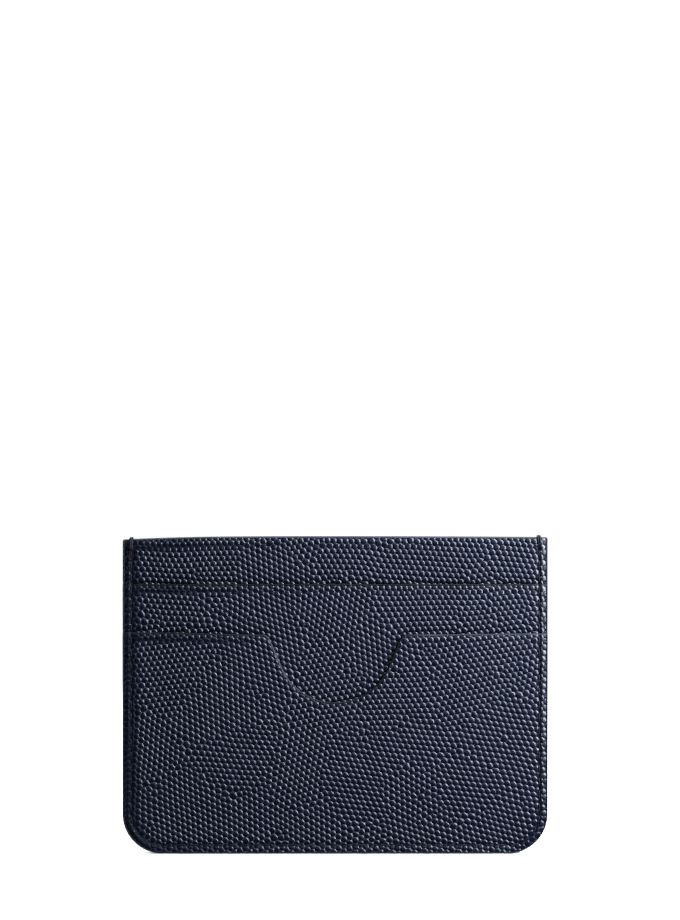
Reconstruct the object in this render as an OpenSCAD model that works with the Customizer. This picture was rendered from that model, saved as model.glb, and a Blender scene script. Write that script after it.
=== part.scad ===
// Slim card holder: on each face two stacked card slots, and an open pocket between the two bodies.
// X runs along the width, -Y is the front, +Z is up, and the origin is the middle of the bottom edge.
// Every layer is drawn as a flat outline seen from the front, and given its thickness along Y.

/* [Outline] */
// Width of the card holder
holder_w = 100; // [96:0.5:108]
// Height of the two bodies, which is the mouth of the centre pocket
holder_h = 74.5; // [72:0.5:80]
// Radius of the two bottom corners
corner_r = 9.4; // [6:0.2:12]

/* [Pockets] */
// Height of the upper pocket's mouth
upper_h = 63.3; // [60:0.1:66]
// Height of the lower pocket's mouth
lower_h = 51.5; // [48:0.1:54]
// Height of the stitched floor of the slot behind the upper pocket
slot_floor_h = 13.5; // [11:0.5:16]

/* [Thumb notch] */
// Depth of the notch below the lower pocket's mouth
notch_depth = 15.9; // [14:0.1:18]
// Radius of the notch's round bottom
notch_r = 13.6; // [10:0.1:14]
// Lean of the notch's straight sides away from upright, in degrees
notch_lean = 23; // [15:1:35]
// Radius of the notch's two top corners
notch_corner_r = 2.1; // [0.6:0.1:2.5]

/* [Leather and lining] */
// Thickness of a body's leather
body_leather_t = 0.85; // [0.7:0.05:1.2]
// Thickness of a pocket's leather
pocket_leather_t = 0.5; // [0.45:0.05:0.8]
// Thickness of the textile that lines the centre pocket
body_lining_t = 0.15; // [0.1:0.01:0.3]
// Thickness of the textile that lines a card pocket
pocket_lining_t = 0.12; // [0.1:0.01:0.3]
// Thickness of the stiffening board let into the back of a body's leather
stiffener_t = 0.25; // [0.15:0.05:0.4]
// Thickness of the edge paint
coat_t = 0.25; // [0.15:0.01:0.35]

/* [Slots] */
// Space left in an empty card slot, which is the thickness of its adhesive tape
slot_gap = 0.12; // [0.08:0.01:0.3]
// Space left in the empty centre pocket
centre_gap = 0.2; // [0.1:0.02:0.6]
// Width of the adhesive tape along the edges
tape_w = 3.2; // [2.6:0.1:4]

/* [Seam] */
// Distance of the seam from the outer edge
seam_inset = 2.1; // [1.6:0.1:3]
// Target length of one stitch and its gap
stitch_pitch = 3; // [2.4:0.1:4]
// Length of thread that shows in one stitch
stitch_len = 2.3; // [1.6:0.1:2.3]
// Diameter of the sewing thread
thread_d = 0.3; // [0.2:0.02:0.3]
// Width of the groove that the thread sinks into
groove_w = 0.7; // [0.5:0.05:1]
// Depth of that groove
groove_d = 0.32; // [0.3:0.01:0.35]
// Length of the bar tack's legs, below the top edge
tack_leg = 2.5; // [1.5:0.1:4]

/* [Hidden] */
$fn = 64;

eps = 0.01;
cut_past = 1;

// Distance of each layer from the middle plane, from the centre pocket outwards
body_lining_y = centre_gap / 2;
body_y = body_lining_y + body_lining_t;
body_face = body_y + body_leather_t;
upper_lining_y = body_face + slot_gap;
upper_y = upper_lining_y + pocket_lining_t;
upper_face = upper_y + pocket_leather_t;
lower_lining_y = upper_face + slot_gap;
lower_y = lower_lining_y + pocket_lining_t;
lower_face = lower_y + pocket_leather_t;

seam_x = holder_w / 2 - seam_inset;
corner_x = holder_w / 2 - corner_r;
stiffener_inset = seam_inset + groove_w;
stiffener_top = holder_h - 2.5;
tape_drop = 1;
slot_bar_h = 2.4;
slot_stitch_t = 0.1;
slot_stitch_w = 0.3;
slot_stitch_run = holder_w - 2 * (coat_t + tape_w + tape_drop);
band_drop = 2;

// The notch's arc centre, and the share of a corner radius that its tangent takes
notch_z = lower_h - notch_depth + notch_r;
corner_tangent = 1 / tan((90 + notch_lean) / 2);

leather_c = "#2b3150";
paint_c = "#1b1c22";
thread_c = "#232a4c";
lining_c = "#30344a";
board_c = "#7a6a55";
tape_c = "#cfc9b8";

// ---- Flat outlines, seen from the front ----

// A full layer: square at the top, round at the two bottom corners
module outline(inset, top) {
  side = holder_w / 2 - inset;
  r = corner_r - inset;
  translate([-side, corner_r]) square([2 * side, top - corner_r]);
  translate([-corner_x, inset]) square([2 * corner_x, corner_r]);
  for (s = [-1, 1]) translate([s * corner_x, corner_r]) circle(r);
}

// A strip that follows both sides and the bottom, between two insets
module edge_strip(outer, inner, top) {
  difference() {
    outline(outer, top);
    outline(inner, top + cut_past);
  }
}

// The groove that the seam lies in, from one height to another
module seam_groove(low, top) {
  intersection() {
    edge_strip(seam_inset - groove_w / 2, seam_inset + groove_w / 2, holder_h + cut_past);
    translate([-holder_w / 2, low]) square([holder_w, top - low]);
  }
}

// What the thumb notch takes away, with its edge moved into the leather by `grow`
module notch(grow) {
  r = notch_r + grow;
  mouth = lower_h - grow;
  low = [r * cos(notch_lean), notch_z - r * sin(notch_lean)];
  top = [low.x + (mouth - low.y) * tan(notch_lean), mouth];
  translate([0, notch_z]) circle(r);
  polygon([
    [-low.x, low.y], low, top, [top.x, mouth + cut_past], [-top.x, mouth + cut_past], [-top.x, mouth]
  ]);
  for (s = [0, 1]) mirror([s, 0]) notch_corner(top, notch_corner_r - grow);
}

// The sliver taken off a top corner of the notch to round it
module notch_corner(corner, r) {
  reach = r * corner_tangent;
  centre = corner + [reach, -r];
  difference() {
    polygon([
      corner + [-eps, eps],
      corner - reach * [sin(notch_lean), cos(notch_lean)],
      centre,
      corner + [reach, eps]
    ]);
    translate(centre) circle(r);
  }
}

// The part of a lower pocket that its edge paint covers: the mouth and the notch
module notched_band(grow, margin) {
  side = holder_w / 2 - coat_t + margin;
  low = lower_h - notch_depth - band_drop - margin;
  difference() {
    translate([-side, low]) square([2 * side, lower_h - grow - low]);
    notch(grow);
  }
}

// ---- Placing ----

// Gives an outline a thickness, starting `y` in front of the middle plane
module layer(y, t) {
  translate([0, -y, 0]) rotate([90, 0, 0]) linear_extrude(height = t) children();
}

// Turns a front piece into its twin at the back
module behind() {
  mirror([0, 1, 0]) children();
}

// ---- Leather ----

module body_panel() {
  color(leather_c) difference() {
    layer(body_y, body_leather_t) outline(coat_t, holder_h - coat_t);
    layer(body_y - eps, stiffener_t + eps) outline(stiffener_inset, stiffener_top);
    layer(body_face - groove_d, groove_d + eps) seam_groove(upper_h, holder_h - tack_leg);
  }
}

module upper_pocket() {
  color(leather_c) difference() {
    layer(upper_y, pocket_leather_t) outline(coat_t, upper_h - coat_t);
    layer(upper_face - groove_d, groove_d + eps) seam_groove(lower_h, upper_h);
  }
}

module lower_pocket() {
  color(leather_c) difference() {
    layer(lower_y, pocket_leather_t) difference() {
      outline(coat_t, lower_h - coat_t);
      notch(coat_t);
    }
    layer(lower_face - groove_d, groove_d + eps) seam_groove(0, lower_h);
  }
}

// ---- Linings and boards ----

module stiffener() {
  color(board_c) layer(body_y, stiffener_t) outline(stiffener_inset, stiffener_top);
}

module body_lining() {
  color(lining_c) layer(body_lining_y, body_lining_t) outline(coat_t, holder_h - coat_t);
}

module upper_lining() {
  color(lining_c) layer(upper_lining_y, pocket_lining_t) outline(coat_t, upper_h - coat_t);
}

module lower_lining() {
  color(lining_c) layer(lower_lining_y, pocket_lining_t) difference() {
    outline(coat_t, lower_h - coat_t);
    notch(coat_t);
  }
}

// ---- Adhesive tapes ----

module tape_strip(top) {
  edge_strip(coat_t, coat_t + tape_w, top - tape_drop);
}

// Between body and upper pocket, with the bar that holds the slot's floor
module inner_tape() {
  inner_w = holder_w - 2 * coat_t - tape_w;
  color(tape_c) layer(body_face, slot_gap) {
    tape_strip(upper_h);
    translate([-inner_w / 2, slot_floor_h - slot_bar_h]) square([inner_w, slot_bar_h]);
  }
}

module outer_tape() {
  color(tape_c) layer(upper_face, slot_gap) tape_strip(lower_h);
}

module centre_tape() {
  color(tape_c) layer(-centre_gap / 2, centre_gap) tape_strip(holder_h);
}

// ---- Edge paint ----

module top_edge_paint() {
  side = holder_w / 2 - coat_t;
  color(paint_c) layer(body_lining_y, body_face - body_lining_y)
    translate([-side, holder_h - coat_t]) square([2 * side, coat_t]);
}

module upper_edge_paint() {
  side = holder_w / 2 - coat_t;
  color(paint_c) layer(upper_lining_y, upper_face - upper_lining_y)
    translate([-side, upper_h - coat_t]) square([2 * side, coat_t]);
}

module lower_edge_paint() {
  color(paint_c) layer(lower_lining_y, lower_face - lower_lining_y) difference() {
    notched_band(0, 0);
    notched_band(coat_t, cut_past);
  }
}

// The coat around both sides and the bottom, stepping in where each pocket ends
module outer_edge_paint() {
  color(paint_c) {
    layer(-lower_face, 2 * lower_face) edge_strip(0, coat_t, lower_h);
    for (s = [-1, 1]) {
      side_bar(s, lower_h, upper_h, upper_face);
      side_bar(s, upper_h, holder_h, body_face);
    }
  }
}

// One upright stretch of that coat, on the side given by the sign
module side_bar(s, low, top, face) {
  mid_x = s * (holder_w / 2 - coat_t / 2);
  translate([mid_x - coat_t / 2, -face, low]) cube([coat_t, 2 * face, top - low]);
}

// ---- Thread ----

// A straight row of stitches that goes up from where it is placed
module stitch_row(run) {
  n = floor(run / stitch_pitch + 0.5);
  for (i = [0 : n - 1])
    translate([0, 0, (i + 0.5) * run / n]) cylinder(d = thread_d, h = stitch_len, center = true);
}

// The stitches of one side, between two heights, sunk into a face of that distance
module side_stitches(low, top, face) {
  for (s = [-1, 1])
    translate([s * seam_x, -(face - groove_d / 2), low]) stitch_row(top - low);
}

// The stitches of one bottom corner, turned about its centre
module corner_stitches() {
  r = corner_r - seam_inset;
  n = floor(r * PI / 2 / stitch_pitch + 0.5);
  for (i = [0 : n - 1])
    rotate([0, (i + 0.5) * 90 / n, 0]) translate([r, 0, 0])
      cylinder(d = thread_d, h = stitch_len, center = true);
}

// The whole seam as one face of the holder shows it
module seam_thread() {
  color(thread_c) {
    side_stitches(upper_h, holder_h - tack_leg, body_face);
    side_stitches(lower_h, upper_h, upper_face);
    side_stitches(corner_r, lower_h, lower_face);
    translate([0, -(lower_face - groove_d / 2), 0]) {
      translate([-corner_x, 0, seam_inset]) rotate([0, 90, 0]) stitch_row(2 * corner_x);
      for (s = [0, 1]) mirror([s, 0, 0])
        translate([corner_x, 0, corner_r]) corner_stitches();
    }
  }
}

// The cross stitches that close the floor of the slot behind the upper pocket
module slot_stitches() {
  n = floor(slot_stitch_run / stitch_pitch);
  y = -(upper_face + slot_stitch_t / 2);
  z = slot_floor_h - slot_bar_h / 2;
  color(thread_c) for (i = [0 : n - 1])
    translate([(i + 0.5 - n / 2) * slot_stitch_run / n, y, z])
      cube([stitch_len, slot_stitch_t, slot_stitch_w], center = true);
}

// Two turns of thread over the top edge, where the seam starts and ends
module bar_tack(s) {
  y = body_face + thread_d / 2;
  top = holder_h + thread_d / 2;
  strand_gap = 0.9 * thread_d;
  color(thread_c) for (k = [-0.5, 0.5]) translate([s * seam_x + k * strand_gap, 0, 0]) {
    translate([0, y, top]) rotate([90, 0, 0]) cylinder(d = thread_d, h = 2 * y);
    for (side = [-1, 1]) translate([0, side * y, 0]) {
      translate([0, 0, holder_h - tack_leg]) cylinder(d = thread_d, h = tack_leg + thread_d / 2);
      translate([0, 0, top]) sphere(d = thread_d);
    }
  }
}

body_panel();  // front_body_panel
stiffener();  // front_stiffener
body_lining();  // front_body_lining
upper_pocket();  // front_upper_pocket
upper_lining();  // front_upper_lining
lower_pocket();  // front_lower_pocket
lower_lining();  // front_lower_lining
inner_tape();  // front_inner_tape
outer_tape();  // front_outer_tape
slot_stitches();  // front_slot_stitches
top_edge_paint();  // front_top_edge_paint
upper_edge_paint();  // front_upper_edge_paint
lower_edge_paint();  // front_lower_edge_paint
behind() body_panel();  // back_body_panel
behind() stiffener();  // back_stiffener
behind() body_lining();  // back_body_lining
behind() upper_pocket();  // back_upper_pocket
behind() upper_lining();  // back_upper_lining
behind() lower_pocket();  // back_lower_pocket
behind() lower_lining();  // back_lower_lining
behind() inner_tape();  // back_inner_tape
behind() outer_tape();  // back_outer_tape
behind() slot_stitches();  // back_slot_stitches
behind() top_edge_paint();  // back_top_edge_paint
behind() upper_edge_paint();  // back_upper_edge_paint
behind() lower_edge_paint();  // back_lower_edge_paint
centre_tape();
outer_edge_paint();
seam_thread();  // needle_thread
behind() seam_thread();  // bobbin_thread
bar_tack(-1);  // left_bar_tack
bar_tack(1);  // right_bar_tack
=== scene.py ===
"""The looks of a slim leather card holder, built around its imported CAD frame.

The holder is two mirrored sides sewn together. Each side is a body panel and two card pockets of
pebbled leather, lined with thin woven cloth, with painted edges. A seam runs down both sides and
along the bottom, and a bar tack closes each end of it over the top edge.

Shapes are worked out in millimetres and stored in metres, in the frame's own axes: x across,
z up, and the front facing -y. "Distance" means how far a face lies from the middle plane.
"""

import logging
import math
from dataclasses import dataclass
from enum import Enum
from typing import Callable, ClassVar, Optional, Sequence

import bpy
import numpy as np
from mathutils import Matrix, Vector
from mathutils.geometry import delaunay_2d_cdt


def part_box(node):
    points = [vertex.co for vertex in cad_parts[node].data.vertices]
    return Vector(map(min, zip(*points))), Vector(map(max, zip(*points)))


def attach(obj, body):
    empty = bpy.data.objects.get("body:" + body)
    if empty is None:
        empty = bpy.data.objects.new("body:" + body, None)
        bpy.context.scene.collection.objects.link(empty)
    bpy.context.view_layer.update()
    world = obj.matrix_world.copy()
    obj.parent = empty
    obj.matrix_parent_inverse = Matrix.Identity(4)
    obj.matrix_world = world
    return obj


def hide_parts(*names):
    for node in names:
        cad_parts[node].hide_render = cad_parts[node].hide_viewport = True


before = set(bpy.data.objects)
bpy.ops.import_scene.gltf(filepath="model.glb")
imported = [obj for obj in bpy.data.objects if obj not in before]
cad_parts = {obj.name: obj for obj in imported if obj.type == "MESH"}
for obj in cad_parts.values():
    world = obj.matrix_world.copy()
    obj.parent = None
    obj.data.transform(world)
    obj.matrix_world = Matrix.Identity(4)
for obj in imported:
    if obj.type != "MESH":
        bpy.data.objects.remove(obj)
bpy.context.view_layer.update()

LOG = logging.getLogger("card_holder")
MM = 0.001
BODY = "root"
MARK = "pattern"


# ---------------------------------------------------------------- small tools


def ease(t: np.ndarray) -> np.ndarray:
    """0 below 0, 1 above 1, and a smooth step between: t squared times (3 - 2t)."""
    t = np.clip(t, 0.0, 1.0)
    return t * t * (3.0 - 2.0 * t)


def hump(t: np.ndarray) -> np.ndarray:
    """A bell of height 1 and half-width 1: e to the power of minus t squared."""
    return np.exp(-np.square(t))


def colour(red: int, green: int, blue: int) -> tuple[float, float, float, float]:
    """A display colour of 0 to 255 steps, as the linear colour that a shader takes."""
    steps = (c / 255.0 for c in (red, green, blue))
    linear = (c / 12.92 if c <= 0.04045 else ((c + 0.055) / 1.055) ** 2.4 for c in steps)
    return (*linear, 1.0)


@dataclass(frozen=True)
class Ramp:
    """A number that grows evenly with a weight of 0 to 1."""

    start: float
    gain: float

    def at(self, weight: np.ndarray) -> np.ndarray:
        """The number where the weight is 0 to 1."""
        return self.start + self.gain * weight


class Side(Enum):
    """The two mirrored sides of the holder."""

    FRONT = "front"
    BACK = "back"

    @property
    def sign(self) -> float:
        """Which way a distance from the middle plane counts along y."""
        return -1.0 if self is Side.FRONT else 1.0

    def node(self, part: str) -> str:
        """The CAD node of a part on this side."""
        return f"{self.value}_{part}"


class Layer(Enum):
    """The three leather layers of a side, from the inside out."""

    BODY = "body"
    UPPER = "upper"
    LOWER = "lower"

    @property
    def leather_part(self) -> str:
        """The name of this layer's leather in the frame."""
        return "body_panel" if self is Layer.BODY else f"{self.value}_pocket"

    @property
    def lining_part(self) -> str:
        """The name of this layer's lining in the frame."""
        return f"{self.value}_lining"

    @property
    def paint_part(self) -> str:
        """The name of the edge paint on this layer's mouth."""
        return "top_edge_paint" if self is Layer.BODY else f"{self.value}_edge_paint"


class Slot(Enum):
    """The record's material slots."""

    LEATHER = "leather"
    PAINT = "edge_paint"
    THREAD = "thread"
    LINING = "lining"
    BOARD = "board"
    TAPE = "tape"


# ---------------------------------------------------------------- meshes


class MeshWork:
    """Collects points and faces as arrays and makes one mesh object of them."""

    def __init__(self, name: str) -> None:
        """Starts an empty mesh called name."""
        self.name = name
        self.points: list[np.ndarray] = []
        self.faces: list[tuple[np.ndarray, bool]] = []
        self.marks: list[np.ndarray] = []
        self.count = 0

    def add_points(self, points: np.ndarray, mark: Optional[np.ndarray] = None) -> int:
        """Adds points.

        Args:
            points: places in millimetres, any shape that ends in 3.
            mark: three numbers for each point, which the material reads; zeros if left out.

        Returns:
            The number of the first point added.
        """
        flat = np.asarray(points, float).reshape(-1, 3)
        first = self.count
        self.points.append(flat)
        self.marks.append(np.zeros_like(flat) if mark is None else np.asarray(mark).reshape(-1, 3))
        self.count += len(flat)
        return first

    def add_faces(self, corners: np.ndarray, smooth: bool = True) -> None:
        """Adds faces that all have as many corners as the array's last axis is long."""
        corners = np.asarray(corners, np.int64)
        self.faces.append((corners.reshape(-1, corners.shape[-1]), smooth))

    def volume(self, points: np.ndarray) -> float:
        """Six times the signed volume: fans of triangles from each face's first corner."""
        total = 0.0
        for corners, _ in self.faces:
            first = points[corners[:, 0]]
            for k in range(1, corners.shape[1] - 1):
                crossed = np.cross(points[corners[:, k]], points[corners[:, k + 1]])
                total += float(np.einsum("ij,ij->", first, crossed))
        return total

    def finish(self, material: bpy.types.Material, slot: Slot,
               replaces: Sequence[str]) -> bpy.types.Object:
        """Makes the object, turns its faces outwards and hides the CAD nodes that it replaces.

        Args:
            material: the finish it wears.
            slot: the record's slot that the finish belongs to; not used.
            replaces: CAD nodes that it stands for.

        Returns:
            The object, riding on the holder's body.
        """
        points = np.concatenate(self.points)
        turn = -1 if self.volume(points) < 0 else 1
        loops = np.concatenate([f[:, ::turn].ravel() for f, _ in self.faces])
        sizes = np.concatenate([np.full(len(f), f.shape[1]) for f, _ in self.faces])
        smooth = np.concatenate([np.full(len(f), s) for f, s in self.faces])
        mesh = bpy.data.meshes.new(self.name)
        mesh.vertices.add(len(points))
        mesh.vertices.foreach_set("co", (points * MM).ravel().astype(np.float32))
        mesh.loops.add(len(loops))
        mesh.loops.foreach_set("vertex_index", loops.astype(np.int32))
        mesh.polygons.add(len(sizes))
        mesh.polygons.foreach_set("loop_start", (np.cumsum(sizes) - sizes).astype(np.int32))
        mesh.polygons.foreach_set("use_smooth", smooth)
        mesh.update(calc_edges=True)
        mesh.validate()
        mark = mesh.attributes.new(MARK, "FLOAT_VECTOR", "POINT")
        mark.data.foreach_set("vector", np.concatenate(self.marks).ravel().astype(np.float32))
        mesh.materials.append(material)
        piece = bpy.data.objects.new(self.name, mesh)
        bpy.context.scene.collection.objects.link(piece)
        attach(piece, BODY)
        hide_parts(*replaces)
        LOG.info("%s: %d points, %d faces", self.name, len(points), len(sizes))
        return piece


def add_slab(work: MeshWork, outer: np.ndarray, inner: np.ndarray) -> None:
    """Adds a closed slab: an outer grid, an inner grid of the same size, and walls between.

    Args:
        work: the mesh that takes it.
        outer: the outer face, rows by columns by 3.
        inner: the inner face, in the same order.
    """
    o = work.add_points(outer) + np.arange(outer[..., 0].size).reshape(outer.shape[:2])
    q = work.add_points(inner) + np.arange(inner[..., 0].size).reshape(inner.shape[:2])
    work.add_faces(np.stack([o[:-1, :-1], o[:-1, 1:], o[1:, 1:], o[1:, :-1]], -1))
    work.add_faces(np.stack([q[:-1, :-1], q[1:, :-1], q[1:, 1:], q[:-1, 1:]], -1))
    walls = ((o[0, ::-1], q[0, ::-1]), (o[-1], q[-1]), (o[::-1, -1], q[::-1, -1]),
             (o[:, 0], q[:, 0]))
    for near, far in walls:
        work.add_faces(np.stack([near[:-1], near[1:], far[1:], far[:-1]], -1), False)


def add_sweep(work: MeshWork, rings: np.ndarray, mark: Optional[np.ndarray] = None) -> None:
    """Adds closed tubes: rings of points joined by quads, with a face over each end.

    Args:
        work: the mesh that takes them.
        rings: tubes by rings by points by 3.
        mark: marks of the same shape.
    """
    tubes, n, m = rings.shape[:3]
    v = work.add_points(rings, mark) + np.arange(tubes * n * m).reshape(tubes, n, m)
    w = np.roll(v, -1, axis=2)
    work.add_faces(np.stack([v[:, :-1], w[:, :-1], w[:, 1:], v[:, 1:]], -1))
    work.add_faces(v[:, 0, ::-1], False)
    work.add_faces(v[:, -1], False)


# ---------------------------------------------------------------- the cut pattern


@dataclass(frozen=True)
class LayerCut:
    """One leather layer of a side, in millimetres from the middle plane."""

    layer: Layer
    lining_in: float
    leather_in: float
    leather_out: float
    mouth: float
    covered_to: float
    gape: float
    crease_drop: float
    crease_depth: float


@dataclass(frozen=True)
class CutPattern:
    """The outline that every layer shares, the pockets' mouths, and how the sewn layers lie."""

    half_w: float
    top: float
    cuts: dict[Layer, LayerCut]
    corner_r: float = 9.4
    coat: float = 0.25
    seam_in: float = 2.1
    notch_depth: float = 15.9
    notch_r: float = 13.6
    notch_lean: float = math.radians(23)
    notch_corner_r: float = 2.1
    bow: float = 0.34
    bow_reach: float = 17.0
    edge_roll: float = 0.42
    lip: float = 0.14
    lip_w: float = 0.5
    groove_depth: float = 0.2
    groove_w: float = 0.32
    seam_pull: float = 0.08
    seam_pull_w: float = 1.1
    mouth_dip: float = 0.17
    mouth_dip_w: float = 1.3
    left_sink: float = 0.75
    right_sink: float = 0.2
    left_lift: float = 0.5
    right_lift: float = 0.22
    lift_from: float = 17.0
    lift_reach: float = 26.0
    swell_from: float = 3.0
    gape_fade: float = 6.0
    cover_lap: float = 1.2
    cover_fade: float = 0.8
    roll_power: float = 1.3
    lip_at: float = 0.72
    seam_fade: float = 0.8
    crease_w: float = 0.3
    notch_clear: float = 16.0
    notch_fade: float = 4.0
    cover_notch: float = 15.0
    cover_notch_fade: float = 3.0
    crease_from: float = 5.0
    crease_reach: float = 30.0
    flat_from: float = 10.0
    flat_reach: float = 35.0
    corner_fade: float = 0.7
    inside_w: float = 2.2
    strip_w: float = 0.5
    crease_flat_w: float = 0.42
    groove_flat_w: float = 0.35
    crease_share: Ramp = Ramp(0.55, 0.45)
    border_turn: Ramp = Ramp(0.25, 0.75)
    flat_inside: Ramp = Ramp(0.3, 0.35)
    flat_border: Ramp = Ramp(0.5, 0.25)
    flat_border_turn: Ramp = Ramp(0.45, 0.55)
    flat_strip: Ramp = Ramp(0.25, 0.15)
    flat_crease: Ramp = Ramp(0.45, 0.4)
    flat_groove: Ramp = Ramp(0.45, 0.35)
    least_relief: float = 0.06
    mouth_shade: float = 0.9
    mouth_shade_reach: float = 1.7
    groove_shade: float = 0.9
    groove_shade_w: float = 0.45

    @classmethod
    def from_frame(cls) -> "CutPattern":
        """Reads the layers' places and the outline's size from the CAD nodes."""
        high = np.array(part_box("outer_edge_paint")[1]) / MM
        tops = {
            layer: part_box(Side.FRONT.node(layer.paint_part))[1].z / MM for layer in Layer
        }
        covered = {Layer.BODY: tops[Layer.UPPER], Layer.UPPER: tops[Layer.LOWER], Layer.LOWER: 0.0}
        gapes = {Layer.BODY: 0.06, Layer.UPPER: 0.12, Layer.LOWER: 0.2}
        creases = {Layer.BODY: (2.3, 0.1), Layer.UPPER: (1.85, 0.13), Layer.LOWER: (1.85, 0.11)}
        cuts = {}
        for layer in Layer:
            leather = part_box(Side.FRONT.node(layer.leather_part))
            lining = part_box(Side.FRONT.node(layer.lining_part))
            cuts[layer] = LayerCut(
                layer, -lining[1].y / MM, -leather[1].y / MM, -leather[0].y / MM, tops[layer],
                covered[layer], gapes[layer], *creases[layer])
        return cls(high[0], tops[Layer.BODY], cuts)

    def half_width(self, z: np.ndarray, inset: float) -> np.ndarray:
        """Half the width at height z: straight above the corners, and a quarter circle below.

        Args:
            z: heights.
            inset: how far in from the finished edge the outline runs.

        Returns:
            Half widths, corner centre plus the circle's reach at that height.
        """
        reach = self.corner_r - inset
        drop = np.clip(self.corner_r - z, 0.0, reach)
        round_part = np.sqrt(np.maximum(reach**2 - drop**2, 0.0))
        return self.half_w - self.corner_r + round_part

    def inset(self, x: np.ndarray, z: np.ndarray) -> np.ndarray:
        """How far a point lies inside the sewn edge, which is the two sides and the bottom."""
        along, down = self.half_w - self.corner_r, self.corner_r
        in_corner = (np.abs(x) > along) & (z < down)
        rounded = self.corner_r - np.hypot(np.abs(x) - along, z - down)
        return np.where(in_corner, rounded, np.minimum(self.half_w - np.abs(x), z))

    def crown(self, x: np.ndarray) -> np.ndarray:
        """How far the top edge sinks toward its sewn ends: powers of x, steeper on the left."""
        t = x / self.half_w
        return -self.left_sink * np.maximum(-t, 0.0) ** 3.5 - self.right_sink * np.maximum(t, 0.0) ** 2

    def mouth_lift(self, layer: Layer, x: np.ndarray) -> np.ndarray:
        """How far a mouth's straight parts differ from their cut height once it is sewn."""
        if layer is Layer.BODY:
            return self.crown(x)
        if layer is Layer.UPPER:
            return np.zeros_like(x)
        left = ease((-x - self.lift_from) / self.lift_reach)
        right = ease((x - self.lift_from) / self.lift_reach)
        return self.left_lift * left + self.right_lift * right

    def below_mouth(self, cut: LayerCut, x: np.ndarray, z: np.ndarray) -> np.ndarray:
        """How far a point lies below the straight parts of a layer's mouth."""
        return cut.mouth + self.mouth_lift(cut.layer, x) - z

    def off_notch(self, cut: LayerCut, x: np.ndarray) -> np.ndarray:
        """1 where a layer's mouth runs straight; 0 across the notch of the lower pocket."""
        if cut.layer is Layer.LOWER:
            return ease((np.abs(x) - self.notch_clear) / self.notch_fade)
        return np.ones_like(x)

    def notch_top(self, x: np.ndarray, grow: float) -> np.ndarray:
        """Height of the lower pocket's mouth: flat, a fillet, a leaning side and the arc.

        Args:
            x: places across.
            grow: how far the cut lies outside the finished notch.

        Returns:
            Heights along the mouth.
        """
        flat = self.cuts[Layer.LOWER].mouth
        r, f = self.notch_r + grow, self.notch_corner_r - grow
        arc_z = flat - self.notch_depth + self.notch_r
        lean, across = self.notch_lean, np.abs(x)
        side_x = r * math.cos(lean)
        side_z = arc_z - r * math.sin(lean)
        fillet_x, fillet_z = self.fillet_centre()
        fillet_from = fillet_x - f * math.cos(lean)
        arc = arc_z - np.sqrt(np.maximum(r**2 - across**2, 0.0))
        side = side_z + (across - side_x) / math.tan(lean)
        fillet = fillet_z + np.sqrt(np.maximum(f**2 - (fillet_x - across) ** 2, 0.0))
        return np.select([across < side_x, across < fillet_from, across < fillet_x],
                         [arc, side, fillet], flat - grow)

    def fillet_centre(self) -> tuple[float, float]:
        """Centre of the rounded corner where the notch meets the mouth, on the right."""
        flat = self.cuts[Layer.LOWER].mouth
        lean, r = self.notch_lean, self.notch_r
        arc_z = flat - self.notch_depth + r
        side_x, side_z = r * math.cos(lean), arc_z - r * math.sin(lean)
        open_half = side_x + (flat - side_z) * math.tan(lean)
        bite = self.notch_corner_r / math.tan((math.pi / 2 + lean) / 2)
        return open_half + bite, flat - self.notch_corner_r

    def mouth_height(self, layer: Layer, x: np.ndarray, grow: float) -> np.ndarray:
        """Height of a layer's cut edge at x, where the cut lies grow inside the finished edge."""
        if layer is Layer.LOWER:
            return self.notch_top(x, grow) + self.mouth_lift(layer, x)
        return self.cuts[layer].mouth - grow + self.mouth_lift(layer, x)

    def mouth_path(self, layer: Layer, grow: float, step: float = 0.25) -> np.ndarray:
        """The line of a mouth from left to right, as evenly spaced (x, z) points.

        The height at closely spaced x is measured along its length and cut into equal steps.
        """
        reach = self.half_w - self.coat
        x = np.linspace(-reach, reach, 8001)
        line = np.stack([x, self.mouth_height(layer, x, grow)], -1)
        length = np.concatenate([[0.0], np.cumsum(np.hypot(*np.diff(line, axis=0).T))])
        even = np.linspace(0.0, length[-1], int(round(length[-1] / step)) + 1)
        return np.stack([np.interp(even, length, part) for part in line.T], -1)

    def swell(self, cut: LayerCut, x: np.ndarray, z: np.ndarray) -> np.ndarray:
        """How far a layer bulges outwards between its sewn edges.

        A smooth step in from the seam across and up from the bottom, plus the mouth's own gape,
        which dies away below the mouth over a few millimetres.
        """
        side = ease((self.half_w - np.abs(x) - self.swell_from) / self.bow_reach)
        rise = ease((z - self.swell_from) / self.bow_reach)
        gape = cut.gape * np.exp(-np.maximum(cut.mouth - z, 0.0) / self.gape_fade)
        return side * (self.bow * rise + gape)

    def rolled(self, i: np.ndarray) -> np.ndarray:
        """How far the border rolls over at an inset: all of it at the edge, none at the seam."""
        return self.edge_roll * np.clip(1.0 - i / self.seam_in, 0.0, 1.0) ** self.roll_power

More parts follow.
